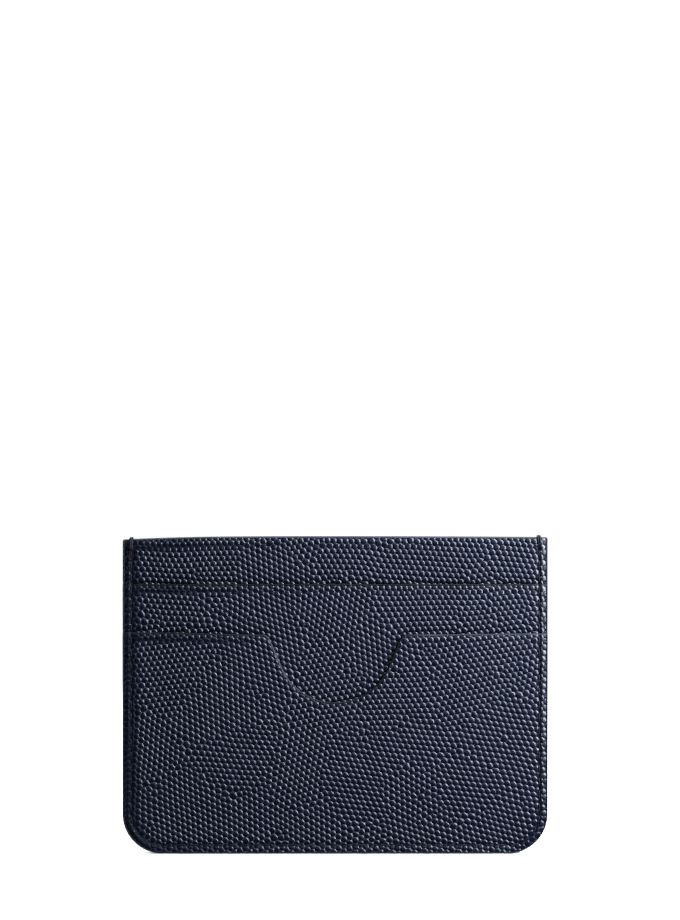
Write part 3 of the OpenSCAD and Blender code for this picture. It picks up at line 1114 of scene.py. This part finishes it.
@dataclass
class LeatherSheet:
    """One leather layer of one side: a closed slab with the grain raised on its outer face."""

    pattern: CutPattern
    grain: PebbleField
    side: Side
    cut: LayerCut
    overlap: float = 2.0
    inner_step: float = 4.0
    shoulder: ClassVar[float] = 0.17
    shoulder_w: float = 0.3
    cover_fade: float = 1.2
    grid_clear: float = 1.2

    def seen_from(self) -> float:
        """The lowest height at which this layer shows: at the notch, or at the next mouth."""
        if self.cut.layer is Layer.UPPER:
            return self.cut.covered_to - self.pattern.notch_depth
        return self.cut.covered_to

    def outline(self) -> np.ndarray:
        """The cut edge, anticlockwise from the top right: the mouth, then round the sewn edge.

        The mouth's line is followed by the left side, the quarter circles, the bottom and the
        right side, all a coat's thickness inside the finished edge.
        """
        p = self.pattern
        mouth = p.mouth_path(self.cut.layer, p.coat)[::-1]
        turn = np.linspace(0.0, math.pi / 2, 60)
        reach, r = p.half_w - p.corner_r, p.corner_r - p.coat
        bend = np.stack([-reach - r * np.cos(turn), p.corner_r - r * np.sin(turn)], -1)
        return np.concatenate([mouth, bend, bend[::-1] * np.array([-1.0, 1.0])])

    def outside(self, flat: np.ndarray) -> np.ndarray:
        """Says which points lie beyond the sewn edge or above the mouth."""
        p = self.pattern
        top = p.mouth_height(self.cut.layer, flat[:, 0], p.coat)
        beyond = (p.inset(*flat.T) < p.coat) | (np.abs(flat[:, 0]) > p.half_w)
        return beyond | (flat[:, 1] > top)

    def fit(self, flat: np.ndarray) -> np.ndarray:
        """Moves points to the nearest place on the cut edge.

        The nearest place is sought on every piece of the outline: the point's foot on the
        piece, held between its ends.
        """
        start = self.outline()
        way = np.roll(start, -1, axis=0) - start
        long = np.maximum((way**2).sum(1), 1e-12)
        t = np.clip(((flat[:, None] - start) * way).sum(2) / long, 0.0, 1.0)
        foot = start + t[..., None] * way
        best = ((flat[:, None] - foot) ** 2).sum(2).argmin(1)
        return foot[np.arange(len(flat)), best]

    def trim(self, flat: np.ndarray, faces: np.ndarray) -> tuple[np.ndarray, ...]:
        """Cuts the grain's triangles to the layer's shape.

        Triangles wholly outside are dropped, the outer corners of the rest move to the cut
        edge, corners that meet become one, and triangles without area go.

        Args:
            flat: flat places.
            faces: triangles over them.

        Returns:
            The places kept, which of the given ones they were, and the triangles kept.
        """
        outer = self.outside(flat)
        faces = faces[~outer[faces].all(axis=1)]
        used, faces = np.unique(faces, return_inverse=True)
        flat, outer = flat[used], outer[used]
        flat[outer] = self.fit(flat[outer])
        _, first, same = np.unique(np.round(flat[:, 0] + 1j * flat[:, 1], 5), return_index=True,
                                   return_inverse=True)
        faces = same.reshape(-1)[faces.reshape(-1, 3)]
        flat, used = flat[first], used[first]
        a, b, c = (flat[faces[:, k]] for k in range(3))
        area = (b - a)[:, 0] * (c - a)[:, 1] - (b - a)[:, 1] * (c - a)[:, 0]
        kept, faces = np.unique(faces[area > 1e-5], return_inverse=True)
        return flat[kept], used[kept], faces.reshape(-1, 3)

    def build(self, material: bpy.types.Material) -> bpy.types.Object:
        """Makes the piece.

        The outer face is the pattern's face minus the relief times one minus the dome, and it
        rounds over at the mouth. The inner face follows the bulge, with the stiffener's recess
        let into the body's; it has coarse triangles of its own inside the same edge.
        """
        p, cut = self.pattern, self.cut
        start = self.seen_from() - self.overlap
        skin = self.grain.skin(lambda c: c[:, 1] > start)
        flat, from_skin, faces = self.trim(skin["flat"], skin["faces"])
        x, z = flat.T
        hidden = ease((z - start) / self.cover_fade) if cut.layer is not Layer.LOWER else 1.0
        strength = p.relief_strength(cut, x, z) * hidden
        top = p.mouth_height(cut.layer, x, p.coat)
        shoulder = self.shoulder * np.exp(-np.maximum(top - z, 0.0) / self.shoulder_w)
        sunk = self.grain.relief * strength * (1.0 - skin["height"][from_skin])
        out = p.face(cut, x, z) - sunk - shoulder
        work = MeshWork(self.side.node(f"{cut.layer.value}_leather"))
        # the pebbles' random tone, with painted shade taken off above the mouths and in the seam's
        # groove
        tone_and_painted_shade = skin["tone"][from_skin] * (1.0 - p.shade(cut, x, z))
        mark = np.stack([skin["rim"][from_skin], strength, tone_and_painted_shade], -1)
        work.add_points(np.stack([x, self.side.sign * out, z], -1), mark)
        work.add_faces(faces)
        self.add_inside(work, flat, faces)
        return work.finish(material, Slot.LEATHER, [self.side.node(cut.layer.leather_part)])

    def add_inside(self, work: MeshWork, flat: np.ndarray, faces: np.ndarray) -> None:
        """Adds the wall along the cut edge and the inner face.

        Args:
            work: the mesh, which holds the outer face only.
            flat: the outer points' flat places.
            faces: the outer triangles.
        """
        p, size = self.pattern, len(flat)
        edges = np.concatenate([faces[:, [0, 1]], faces[:, [1, 2]], faces[:, [2, 0]]])
        keys, back = edges[:, 0] * size + edges[:, 1], edges[:, 1] * size + edges[:, 0]
        rim = edges[~np.isin(keys, back)]
        border, rim_at = np.unique(rim, return_inverse=True)
        rim_at = rim_at.reshape(-1, 2)
        steps = np.arange(0.0, p.half_w, self.inner_step)
        gx = np.concatenate([-steps[:0:-1], steps])
        gx, gz = (v.ravel() for v in np.meshgrid(gx, np.arange(2.0, p.top, self.inner_step)))
        ceiling = p.mouth_height(self.cut.layer, gx, self.grid_clear + 0.2)
        inside = (p.inset(gx, gz) > self.grid_clear) & (gz < ceiling)
        grid = np.stack([gx, gz], -1)[inside]
        seeds = np.concatenate([flat[border], grid])
        found = delaunay_2d_cdt(seeds.tolist(), rim_at.tolist(), [], 1, 1e-7)
        spots = np.array([tuple(v) for v in found[0]])
        corners = np.array(found[2], np.int64)
        origin = np.array([v[0] if v else -1 for v in found[3]])
        gap = p.swell(self.cut, *spots.T) + self.cut.leather_in
        if self.cut.layer is Layer.BODY:
            gap = gap + StiffBoard.recess(p, *spots.T)
        first = work.add_points(np.stack([spots[:, 0], self.side.sign * gap, spots[:, 1]], -1))
        work.add_faces(first + corners[:, ::-1])
        place = np.full(len(seeds), -1)
        place[origin[origin >= 0]] = np.flatnonzero(origin >= 0)
        below = first + place[rim_at]
        work.add_faces(np.stack([rim[:, 1], rim[:, 0], below[:, 0], below[:, 1]], -1), False)
        LOG.info("%s: %d points on the cut edge", work.name, len(border))


@dataclass
class ThinSheet:
    """A lining or a board: an even slab that follows the bulge of its layer."""

    pattern: CutPattern
    side: Side
    cut: LayerCut
    name: str
    nodes: Sequence[str]
    inner: float
    outer: float
    inset: float
    columns: int = 96
    row_count: int = 72
    ripple: float = 0.0
    above_corner: float = 2.6
    even_rows: float = 0.4

    def build(self, material: bpy.types.Material, slot: Slot, top: np.ndarray) -> bpy.types.Object:
        """Makes the piece.

        Args:
            material: its finish.
            slot: the record's slot.
            top: the height of its top edge in each column.

        Returns:
            The object: two grids at even distances from the middle plane plus the bulge.
        """
        p = self.pattern
        t = np.linspace(0.0, 1.0, self.row_count + 1)
        flat = float(top.max())
        rows = self.inset + (flat - self.inset) * (self.even_rows * t + (1.0 - self.even_rows) * t * t)
        share = np.linspace(-1.0, 1.0, self.columns + 1)
        x = share[None, :] * p.half_width(rows, self.inset)[:, None]
        start = p.corner_r + self.above_corner
        stretch = np.clip((rows[:, None] - start) / (flat - start), 0.0, 1.0)
        z = np.minimum(rows[:, None], start) + stretch * (top - start)[None, :]
        swell = p.swell(self.cut, x, z)
        wave = self.ripple * np.sin(x * 0.9 + 0.3 * z) * np.sin(z * 0.7 - 0.2 * x)
        s = self.side.sign
        work = MeshWork(self.name)
        add_slab(work, np.stack([x, s * (self.outer + swell), z], -1),
                 np.stack([x, s * (self.inner + swell + wave), z], -1))
        return work.finish(material, slot, self.nodes)


@dataclass
class Lining(ThinSheet):
    """The woven cloth behind one leather layer."""

    @classmethod
    def of(cls, pattern: CutPattern, side: Side, cut: LayerCut) -> "Lining":
        """The lining of a layer, filling the gap that the frame leaves for it."""
        node = side.node(cut.layer.lining_part)
        return cls(pattern, side, cut, f"{node}_cloth", [node], cut.lining_in, cut.leather_in,
                   pattern.coat, ripple=0.015)

    def declare(self, material: bpy.types.Material) -> bpy.types.Object:
        """Builds it, with its top along the layer's mouth."""
        p, cut = self.pattern, self.cut
        share = np.linspace(-1.0, 1.0, self.columns + 1)
        reach = share * (p.half_w - p.coat)
        top = p.mouth_height(cut.layer, reach, p.coat)
        piece = self.build(material, Slot.LINING, top)
        self.side.node(f"{cut.layer.value}_leather")
        return piece


@dataclass
class StiffBoard(ThinSheet):
    """The thin board let into the back of a body panel."""

    @staticmethod
    def recess(pattern: CutPattern, x: np.ndarray, z: np.ndarray) -> np.ndarray:
        """Depth of the hollow that takes the board: its thickness inside a soft edge."""
        low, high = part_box(Side.FRONT.node("stiffener"))
        thick, top = (high.y - low.y) / MM, high.z / MM
        edge = pattern.half_w - high.x / MM
        spare, soft, play = 1.6, 1.4, 0.02
        inside = ease((pattern.inset(x, z) - edge + spare) / soft)
        return (thick + play) * inside * ease((top + spare - z) / soft)

    @classmethod
    def of(cls, pattern: CutPattern, side: Side) -> "StiffBoard":
        """The board of a side, where the frame has it."""
        low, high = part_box(Side.FRONT.node("stiffener"))
        node = side.node("stiffener")
        return cls(pattern, side, pattern.cuts[Layer.BODY], f"{node}_board", [node],
                   -high.y / MM, -low.y / MM, pattern.half_w - high.x / MM, ripple=0.01)

    def place(self, material: bpy.types.Material) -> bpy.types.Object:
        """Builds it with a level top."""
        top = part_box(self.nodes[0])[1].z / MM
        return self.build(material, Slot.BOARD, np.full(self.columns + 1, top))


# ---------------------------------------------------------------- painted edges


def bead_profile(points: int = 11, bulge: float = 0.25, skirt: float = 0.35,
                 film: float = 0.022) -> tuple[np.ndarray, np.ndarray, np.ndarray]:
    """The section of an edge coat: a dome over the cut edge with a thin lap onto each face.

    Args:
        points: how many points the dome has.
        bulge: how far the dome stands out.
        skirt: how far the laps come onto the faces.
        film: the thickness of a lap.

    Returns:
        The share of the half thickness, the film that is added to it, and the height above
        the cut edge, for each point round the section.
    """
    angle = np.linspace(-math.pi / 2, math.pi / 2, points)
    share = np.concatenate([[-1], np.sin(angle), [1, 0.8, 0.8, -0.8, -0.8]])
    added = np.concatenate([[-0.3], np.sin(angle), [0.3, 0, 0, 0, 0]]) * film
    dome = bulge * np.cos(angle) ** 0.75
    height = np.concatenate([[-skirt], dome, [-skirt, -skirt, 0, 0, -skirt]])
    return share, added, height


@dataclass
class MouthPaint:
    """The painted edge along one mouth of one side."""

    pattern: CutPattern
    side: Side
    cut: LayerCut
    skirt: float = 0.08
    lap: float = 0.05

    def build(self, material: bpy.types.Material) -> bpy.types.Object:
        """Makes the piece: the bead's section carried along the mouth's line.

        The line's normal is its tangent turned a quarter, pointing out of the leather. The
        section spans from the lining's inner face to the leather's outer face.
        """
        p, cut = self.pattern, self.cut
        line = p.mouth_path(cut.layer, p.coat)
        tangent = np.gradient(line, axis=0)
        tangent /= np.linalg.norm(tangent, axis=1, keepdims=True)
        normal = np.stack([-tangent[:, 1], tangent[:, 0]], -1)
        share, added, height = bead_profile(skirt=self.skirt)
        inner = cut.lining_in + p.swell(cut, *line.T)
        outer = p.face(cut, *line.T) - LeatherSheet.shoulder
        middle, half = (inner + outer) / 2, (outer - inner) / 2
        lap = self.lap * np.clip(-height / self.skirt, 0.0, 1.0) * (share > 0)
        out = middle[:, None] + half[:, None] * share + added + lap
        spot = line[:, None, :] + normal[:, None, :] * height[None, :, None]
        rings = np.stack([spot[..., 0], self.side.sign * out, spot[..., 1]], -1)
        node = self.side.node(cut.layer.paint_part)
        work = MeshWork(f"{node}_bead")
        mark = np.zeros_like(rings)
        # painted highlight: the coat is painted paler where light catches the edge
        mark[..., 0] = self.wear_and_highlight(rings[..., 0])
        add_sweep(work, rings[None], mark[None])
        return work.finish(material, Slot.PAINT, [node])

    def wear_and_highlight(self, x: np.ndarray) -> np.ndarray:
        """How pale the coat is painted: a painted highlight all along the top edge, where light from
        above catches it, and in two places of the notch's mouth, where the key light catches the edge.
        """
        if self.cut.layer is Layer.BODY:
            return np.full_like(x, 0.9)
        if self.cut.layer is Layer.UPPER:
            return np.zeros_like(x)
        return 0.1 + 0.45 * hump((x + 13.0) / 4.0) + 0.4 * ease((x - 17.0) / 5.0)


@dataclass
class RimPaint:
    """The coat round both sides and the bottom, over all the layers at once."""

    pattern: CutPattern
    step: float = 0.3
    face_inset: float = 0.45
    proud: float = 0.02
    step_from: float = 0.1
    step_soft: float = 0.35
    wear_and_highlight: float = 0.1

    def line(self) -> tuple[np.ndarray, np.ndarray]:
        """The cut edge from the top left round to the top right, with its outward normals.

        Straight down, a quarter circle, along the bottom, a quarter circle, straight up.
        """
        p = self.pattern
        reach, r = p.half_w - p.corner_r, p.corner_r - p.coat
        down = np.arange(p.top - p.coat, p.corner_r, -self.step)
        bend = np.linspace(0.0, math.pi / 2, int(r * 1.6 / self.step))
        along = np.linspace(-reach, reach, int(2 * reach / self.step))[1:-1]
        side_x = np.full_like(down, -(p.half_w - p.coat))
        left = np.stack([side_x, down], -1)
        turn = np.stack([-reach - r * np.cos(bend), p.corner_r - r * np.sin(bend)], -1)
        bottom = np.stack([along, np.full_like(along, p.coat)], -1)
        mirror = np.array([-1.0, 1.0])
        line = np.concatenate([left, turn, bottom, turn[::-1] * mirror, left[::-1] * mirror])
        line[:, 1] += p.crown(line[:, 0]) * ease((line[:, 1] - 0.8 * p.top) / (0.2 * p.top))
        out = np.concatenate([
            np.tile([-1.0, 0.0], (len(left), 1)), np.stack([-np.cos(bend), -np.sin(bend)], -1),
            np.tile([0.0, -1.0], (len(along), 1)),
            np.stack([np.cos(bend), -np.sin(bend)], -1)[::-1], np.tile([1.0, 0.0], (len(left), 1))])
        return line, out

    def build(self, material: bpy.types.Material) -> bpy.types.Object:
        """Makes the piece, as thick as the layers are at each height, with soft steps."""
        p = self.pattern
        line, out = self.line()
        share, added, height = bead_profile(points=17, skirt=0.2, film=0.03)
        heights = line[:, 1]
        half = np.zeros_like(heights)
        left_over = 1.0
        roll = p.rolled(np.array(self.face_inset)) * p.side_share(line[:, 0])
        for layer in (Layer.LOWER, Layer.UPPER, Layer.BODY):
            edge = p.mouth_height(layer, line[:, 0], 0.0)
            reached = ease((edge - heights + self.step_from) / self.step_soft)
            part = 1.0 if layer is Layer.BODY else reached
            half = half + left_over * part * (p.cuts[layer].leather_out - roll + self.proud)
            left_over = left_over * (1 - part)
        spot = line[:, None, :] + out[:, None, :] * height[None, :, None]
        y = half[:, None] * share + added
        rings = np.stack([spot[..., 0], y, spot[..., 1]], -1)
        work = MeshWork("outer_edge_bead")
        mark = np.broadcast_to(np.array([self.wear_and_highlight, 0.0, 0.0]), rings.shape)
        add_sweep(work, rings[None], mark[None])
        return work.finish(material, Slot.PAINT, ["outer_edge_paint"])


# ---------------------------------------------------------------- threads


@dataclass
class Seam:
    """The row of stitches that shows on one side."""

    pattern: CutPattern
    side: Side
    node: str
    thread_r: float = 0.16
    stitch_len: float = 2.3
    tack_drop: float = 2.5
    rings: int = 8
    around: int = 6
    lift: float = 0.11
    dive: float = 0.42
    lean_spread: float = 0.035
    lift_spread: float = 0.015
    thinning: float = 0.25

    def runs(self) -> list[tuple[float, int]]:
        """Length and number of stitches of each stretch, from the top left to the top right."""
        p = self.pattern
        upper, lower = p.cuts[Layer.UPPER].mouth, p.cuts[Layer.LOWER].mouth
        bend = math.pi / 2 * (p.corner_r - p.seam_in)
        down = [(p.top - self.tack_drop - upper, 3), (upper - lower, 4), (lower - p.corner_r, 14)]
        return down + [(bend, 4), (2 * (p.half_w - p.corner_r), 27), (bend, 4)] + down[::-1]

    def at(self, s: np.ndarray) -> tuple[np.ndarray, np.ndarray]:
        """The seam's place (x, z) at a length s along it.

        Straight down to the corner's centre height, round the corner, along the bottom, and
        the same again up the other side: each part's own formula where s falls in it.
        """
        p = self.pattern
        r, reach = p.corner_r - p.seam_in, p.half_w - p.corner_r
        tall, bend = p.top - self.tack_drop - p.corner_r, math.pi / 2 * r
        total = 2 * (tall + bend + reach)
        back = s > total / 2
        t = np.where(back, total - s, s)
        angle = np.clip((t - tall) / r, 0.0, math.pi / 2)
        x = -reach - r * np.cos(angle) + np.clip(t - tall - bend, 0.0, None)
        z = p.corner_r - r * np.sin(angle) + np.clip(tall - t, 0.0, None)
        return np.where(back, -x, x), z

    def build(self, material: bpy.types.Material) -> bpy.types.Object:
        """Makes the stitches: short tubes in the groove whose ends dive into their holes.

        Along a stitch u runs from -1 to 1. Its middle lies just above the groove's floor and
        its ends sink with u to the sixth power; its radius thins a little toward the ends.
        """
        p = self.pattern
        centres, start = [], 0.0
        for length, count in self.runs():
            centres.append(start + (np.arange(count) + 0.5) * length / count)
            start += length
        middle = np.concatenate(centres)
        draw = np.random.default_rng(31 if self.side is Side.FRONT else 32)
        u = np.linspace(-1.0, 1.0, self.rings)
        s = middle[:, None] + u[None, :] * self.stitch_len / 2
        x, z = self.at(s)
        ahead = self.at(s + 0.01)
        tx, tz = ahead[0] - x, ahead[1] - z
        size = np.hypot(tx, tz)
        tx, tz = tx / size, tz / size
        lean = draw.normal(0.0, self.lean_spread, (len(middle), 1)) * u
        uneven = draw.normal(0.0, self.lift_spread, (len(middle), 1))
        x, z = x + tz * lean, z - tx * lean
        out = p.outermost(x, z) + self.lift + uneven - self.dive * np.abs(u) ** 6
        turn = np.arange(self.around) / self.around * 2 * math.pi
        radius = self.thread_r * (1 - self.thinning * np.abs(u) ** 4)
        side_by = radius[None, :, None] * np.cos(turn)
        up_by = radius[None, :, None] * np.sin(turn)
        rings = np.stack([x[..., None] + tz[..., None] * side_by,
                          self.side.sign * (out[..., None] + up_by),
                          z[..., None] - tx[..., None] * side_by], -1)
        mark = np.stack(np.broadcast_arrays(s[..., None], turn / (2 * math.pi), 0.0), -1)
        work = MeshWork(f"{self.side.value}_stitches")
        add_sweep(work, rings, mark)
        return work.finish(material, Slot.THREAD, [self.node])


@dataclass
class BarTack:
    """The loops of thread that close one end of the seam over the top edge."""

    pattern: CutPattern
    node: str
    across: float
    strand_r: float = 0.28
    gap: float = 0.4
    leg: float = 2.5
    over: float = 0.48
    power: float = 0.45
    around: int = 12

    def line(self, shift: float, lean: float) -> np.ndarray:
        """One strand's middle line: up the front, over the top and down the back.

        An arch in y and z, the cosine and sine of an angle each to a power below 1, so that the
        legs run straight and the top is blunt. A lean in x grows from the top down.
        """
        p = self.pattern
        angle = np.linspace(-0.02, math.pi + 0.02, 61)
        bend_y, bend_z = (np.sign(v) * np.abs(v) ** self.power for v in (np.cos(angle), np.sin(angle)))
        top = p.top + float(p.crown(np.array(self.across))) + self.over - self.strand_r
        z = top - self.leg - 0.1 + (self.leg + 0.1) * bend_z
        x = self.across + shift + lean * (top - z) / self.leg
        face = p.outermost(x, np.minimum(z, p.top - 0.4))
        y = -bend_y * (face + 0.12)
        return np.stack([x, y, z], -1)

    def build(self, material: bpy.types.Material) -> bpy.types.Object:
        """Makes the strands as twisted tubes, with three plies raised on the radius."""
        draw = np.random.default_rng(5 if self.across < 0 else 6)
        leans = draw.normal(0.1, 0.12, 2)
        middle = np.stack([self.line(s * self.gap / 2, lean) for s, lean in zip((-1, 1), leans)])
        tangent = np.gradient(middle, axis=1)
        tangent /= np.linalg.norm(tangent, axis=2, keepdims=True)
        sideways = np.broadcast_to(np.array([1.0, 0.0, 0.0]), tangent.shape)
        outward = np.cross(tangent, sideways)
        outward /= np.linalg.norm(outward, axis=2, keepdims=True)
        sideways = np.cross(outward, tangent)
        along = np.cumsum(np.linalg.norm(np.diff(middle, axis=1, prepend=middle[:, :1]), axis=2), 1)
        turn = np.arange(self.around) / self.around * 2 * math.pi
        ply = 0.1 * np.cos(3 * turn - 6.0 * along[..., None])
        radius = self.strand_r * (0.95 + ply)
        rings = (middle[:, :, None] + sideways[:, :, None] * (radius * np.cos(turn))[..., None]
                 + outward[:, :, None] * (radius * np.sin(turn))[..., None])
        mark = np.stack(np.broadcast_arrays(along[..., None], turn / (2 * math.pi), 0.0), -1)
        work = MeshWork(f"{self.node}_strands")
        add_sweep(work, rings, mark)
        return work.finish(material, Slot.THREAD, [self.node])


# ---------------------------------------------------------------- assembly and studio


@dataclass
class HolderSide:
    """One side of the holder with all its pieces."""

    pattern: CutPattern
    grain: PebbleField
    side: Side
    wardrobe: Wardrobe

    def build(self) -> None:
        """Builds the leather, its linings, edges, board and stitches, from the inside out."""
        for layer in Layer:
            cut = self.pattern.cuts[layer]
            LeatherSheet(self.pattern, self.grain, self.side, cut).build(self.wardrobe[Slot.LEATHER])
            Lining.of(self.pattern, self.side, cut).declare(self.wardrobe[Slot.LINING])
            MouthPaint(self.pattern, self.side, cut).build(self.wardrobe[Slot.PAINT])
        StiffBoard.of(self.pattern, self.side).place(self.wardrobe[Slot.BOARD])
        thread = "needle_thread" if self.side is Side.FRONT else "bobbin_thread"
        Seam(self.pattern, self.side, thread).build(self.wardrobe[Slot.THREAD])
        for tape in ("inner_tape", "outer_tape"):
            self.wardrobe.dress(self.side.node(tape), Slot.TAPE)
        self.wardrobe.dress(self.side.node("slot_stitches"), Slot.THREAD)


@dataclass(frozen=True)
class SoftBox:
    """A rectangular studio light that points at the holder."""

    name: str
    place: tuple[float, float, float]
    size: tuple[float, float]
    power: float
    tint: tuple[float, float, float] = (1.0, 1.0, 1.0)

    def build(self, aim: tuple[float, float, float]) -> bpy.types.Object:
        """Makes the light, turned so that it faces the aim."""
        data = bpy.data.lights.new(self.name, "AREA")
        data.shape = "RECTANGLE"
        data.size, data.size_y = self.size
        data.energy = self.power
        data.color = self.tint
        lamp = bpy.data.objects.new(self.name, data)
        bpy.context.scene.collection.objects.link(lamp)
        lamp.location = self.place
        lamp.visible_camera = False
        way = np.array(aim) - np.array(self.place)
        lamp.rotation_euler = Vector(way).to_track_quat("-Z", "Y").to_euler()
        return lamp


@dataclass
class Studio:
    """A plain pale floor in a white room, soft boxes and the camera."""

    camera_x: float = 0.00116
    camera_z: float = 0.09242
    lens: float = 120.0
    sensor: float = 36.0
    seen_height: float = 0.2165
    floor_radius: float = 8.0
    aim: tuple[float, float, float] = (0.0, 0.0, 0.037)
    boxes: tuple[SoftBox, ...] = (
        SoftBox("key", (0.178, -0.11, 0.155), (0.085, 0.3), 2.4, (0.94, 0.97, 1.0)),
        SoftBox("top", (0.15, -0.25, 1.2), (1.2, 0.6), 6.0),
        SoftBox("left", (-0.9, -0.45, 0.35), (0.6, 0.8), 1.4),
        SoftBox("front", (0.42, -1.25, 0.5), (1.0, 0.95), 3.2),
        SoftBox("rear_key", (-0.25, 0.3, 0.25), (0.3, 0.4), 5.0, (0.94, 0.97, 1.0)),
        SoftBox("rear_fill", (0.7, 0.8, 0.45), (0.6, 0.8), 3.5),
    )

    def build(self) -> None:
        """Builds everything that isn't the holder."""
        self.build_floor()
        self.build_room()
        for box in self.boxes:
            box.build(self.aim)
        self.build_camera()
        bpy.context.scene.view_settings.view_transform = "Standard"
        bpy.context.scene.view_settings.look = "None"

    def build_floor(self) -> None:
        """A level disc: rings of points at growing radii, joined by quads, level at z = 0."""
        turn = np.linspace(0.0, 2 * math.pi, 97)[:-1]
        radius = np.concatenate([[0.001], np.geomspace(0.05, self.floor_radius, 24)])
        points = np.stack(np.broadcast_arrays(radius[:, None] * np.cos(turn),
                                              radius[:, None] * np.sin(turn), 0.0), -1)
        v = np.arange(points[..., 0].size).reshape(len(radius), -1)
        w = np.roll(v, -1, axis=1)
        faces = np.stack([v[:-1], v[1:], w[1:], w[:-1]], -1).reshape(-1, 4)
        mesh = bpy.data.meshes.new("floor")
        mesh.from_pydata(points.reshape(-1, 3).tolist(), [], faces.tolist() + [v[0].tolist()])
        mesh.materials.append(self.floor_material())
        floor = bpy.data.objects.new("floor", mesh)
        bpy.context.scene.collection.objects.link(floor)

    def floor_material(self) -> bpy.types.Material:
        """Matt white board that also glows to the camera, so that it runs into the room."""
        material = bpy.data.materials.new("floor")
        material.use_nodes = True
        w = Wiring(material.node_tree)
        shader = material.node_tree.nodes["Principled BSDF"]
        shader.inputs["Roughness"].default_value = 0.9
        shader.inputs["Specular IOR Level"].default_value = 0.0
        mottle = w.noise(w.place(), 3.0)
        tone = w.scaled(mottle, 0.3, 0.7, 0.0, 1.0)
        seen = w.node("ShaderNodeLightPath").outputs["Is Camera Ray"]
        board = w.blend(tone, colour(236, 236, 236), colour(240, 240, 240))
        w.put(w.blend(seen, colour(48, 49, 54), board), shader.inputs["Base Color"])
        away = w.vector("LENGTH", w.place()).outputs["Value"]
        far = w.scaled(away, 0.05, 0.08, 0.3, 1.05)
        w.put(w.math("MULTIPLY", seen, far), shader.inputs["Emission Color"])
        shader.inputs["Emission Strength"].default_value = 1.0
        return material

    def build_room(self) -> None:
        """A white background for the camera and a dim, even light for everything else."""
        world = bpy.data.worlds.new("room")
        bpy.context.scene.world = world
        world.use_nodes = True
        w = Wiring(world.node_tree)
        shine = world.node_tree.nodes["Background"]
        seen = w.node("ShaderNodeLightPath").outputs["Is Camera Ray"]
        w.put(w.blend(seen, (0.012, 0.013, 0.018, 1.0), (1.03, 1.03, 1.03, 1.0)), shine.inputs["Color"])
        shine.inputs["Strength"].default_value = 1.0

    def build_camera(self) -> None:
        """A level camera in front of the holder, as far off as its lens needs."""
        data = bpy.data.cameras.new("camera")
        data.lens = self.lens
        data.sensor_width = self.sensor
        data.clip_start, data.clip_end = 0.01, 30.0
        camera = bpy.data.objects.new("camera", data)
        bpy.context.scene.collection.objects.link(camera)
        away = self.lens * self.seen_height / self.sensor
        camera.location = (self.camera_x, -away, self.camera_z)
        camera.rotation_euler = (math.pi / 2, 0.0, 0.0)
        bpy.context.scene.camera = camera


def main() -> None:
    """Builds the holder from the inside out, then the studio."""
    logging.basicConfig(level=logging.INFO, format="%(name)s: %(message)s")
    pattern = CutPattern.from_frame()
    wardrobe = Wardrobe()
    for side, seed in ((Side.FRONT, 7), (Side.BACK, 19)):
        HolderSide(pattern, PebbleField(seed), side, wardrobe).build()
    RimPaint(pattern).build(wardrobe[Slot.PAINT])
    seam_x = pattern.half_w - pattern.seam_in
    BarTack(pattern, "left_bar_tack", -seam_x).build(wardrobe[Slot.THREAD])
    BarTack(pattern, "right_bar_tack", seam_x).build(wardrobe[Slot.THREAD])
    wardrobe.dress("centre_tape", Slot.TAPE)
    Studio().build()


if __name__ == "__main__":
    main()
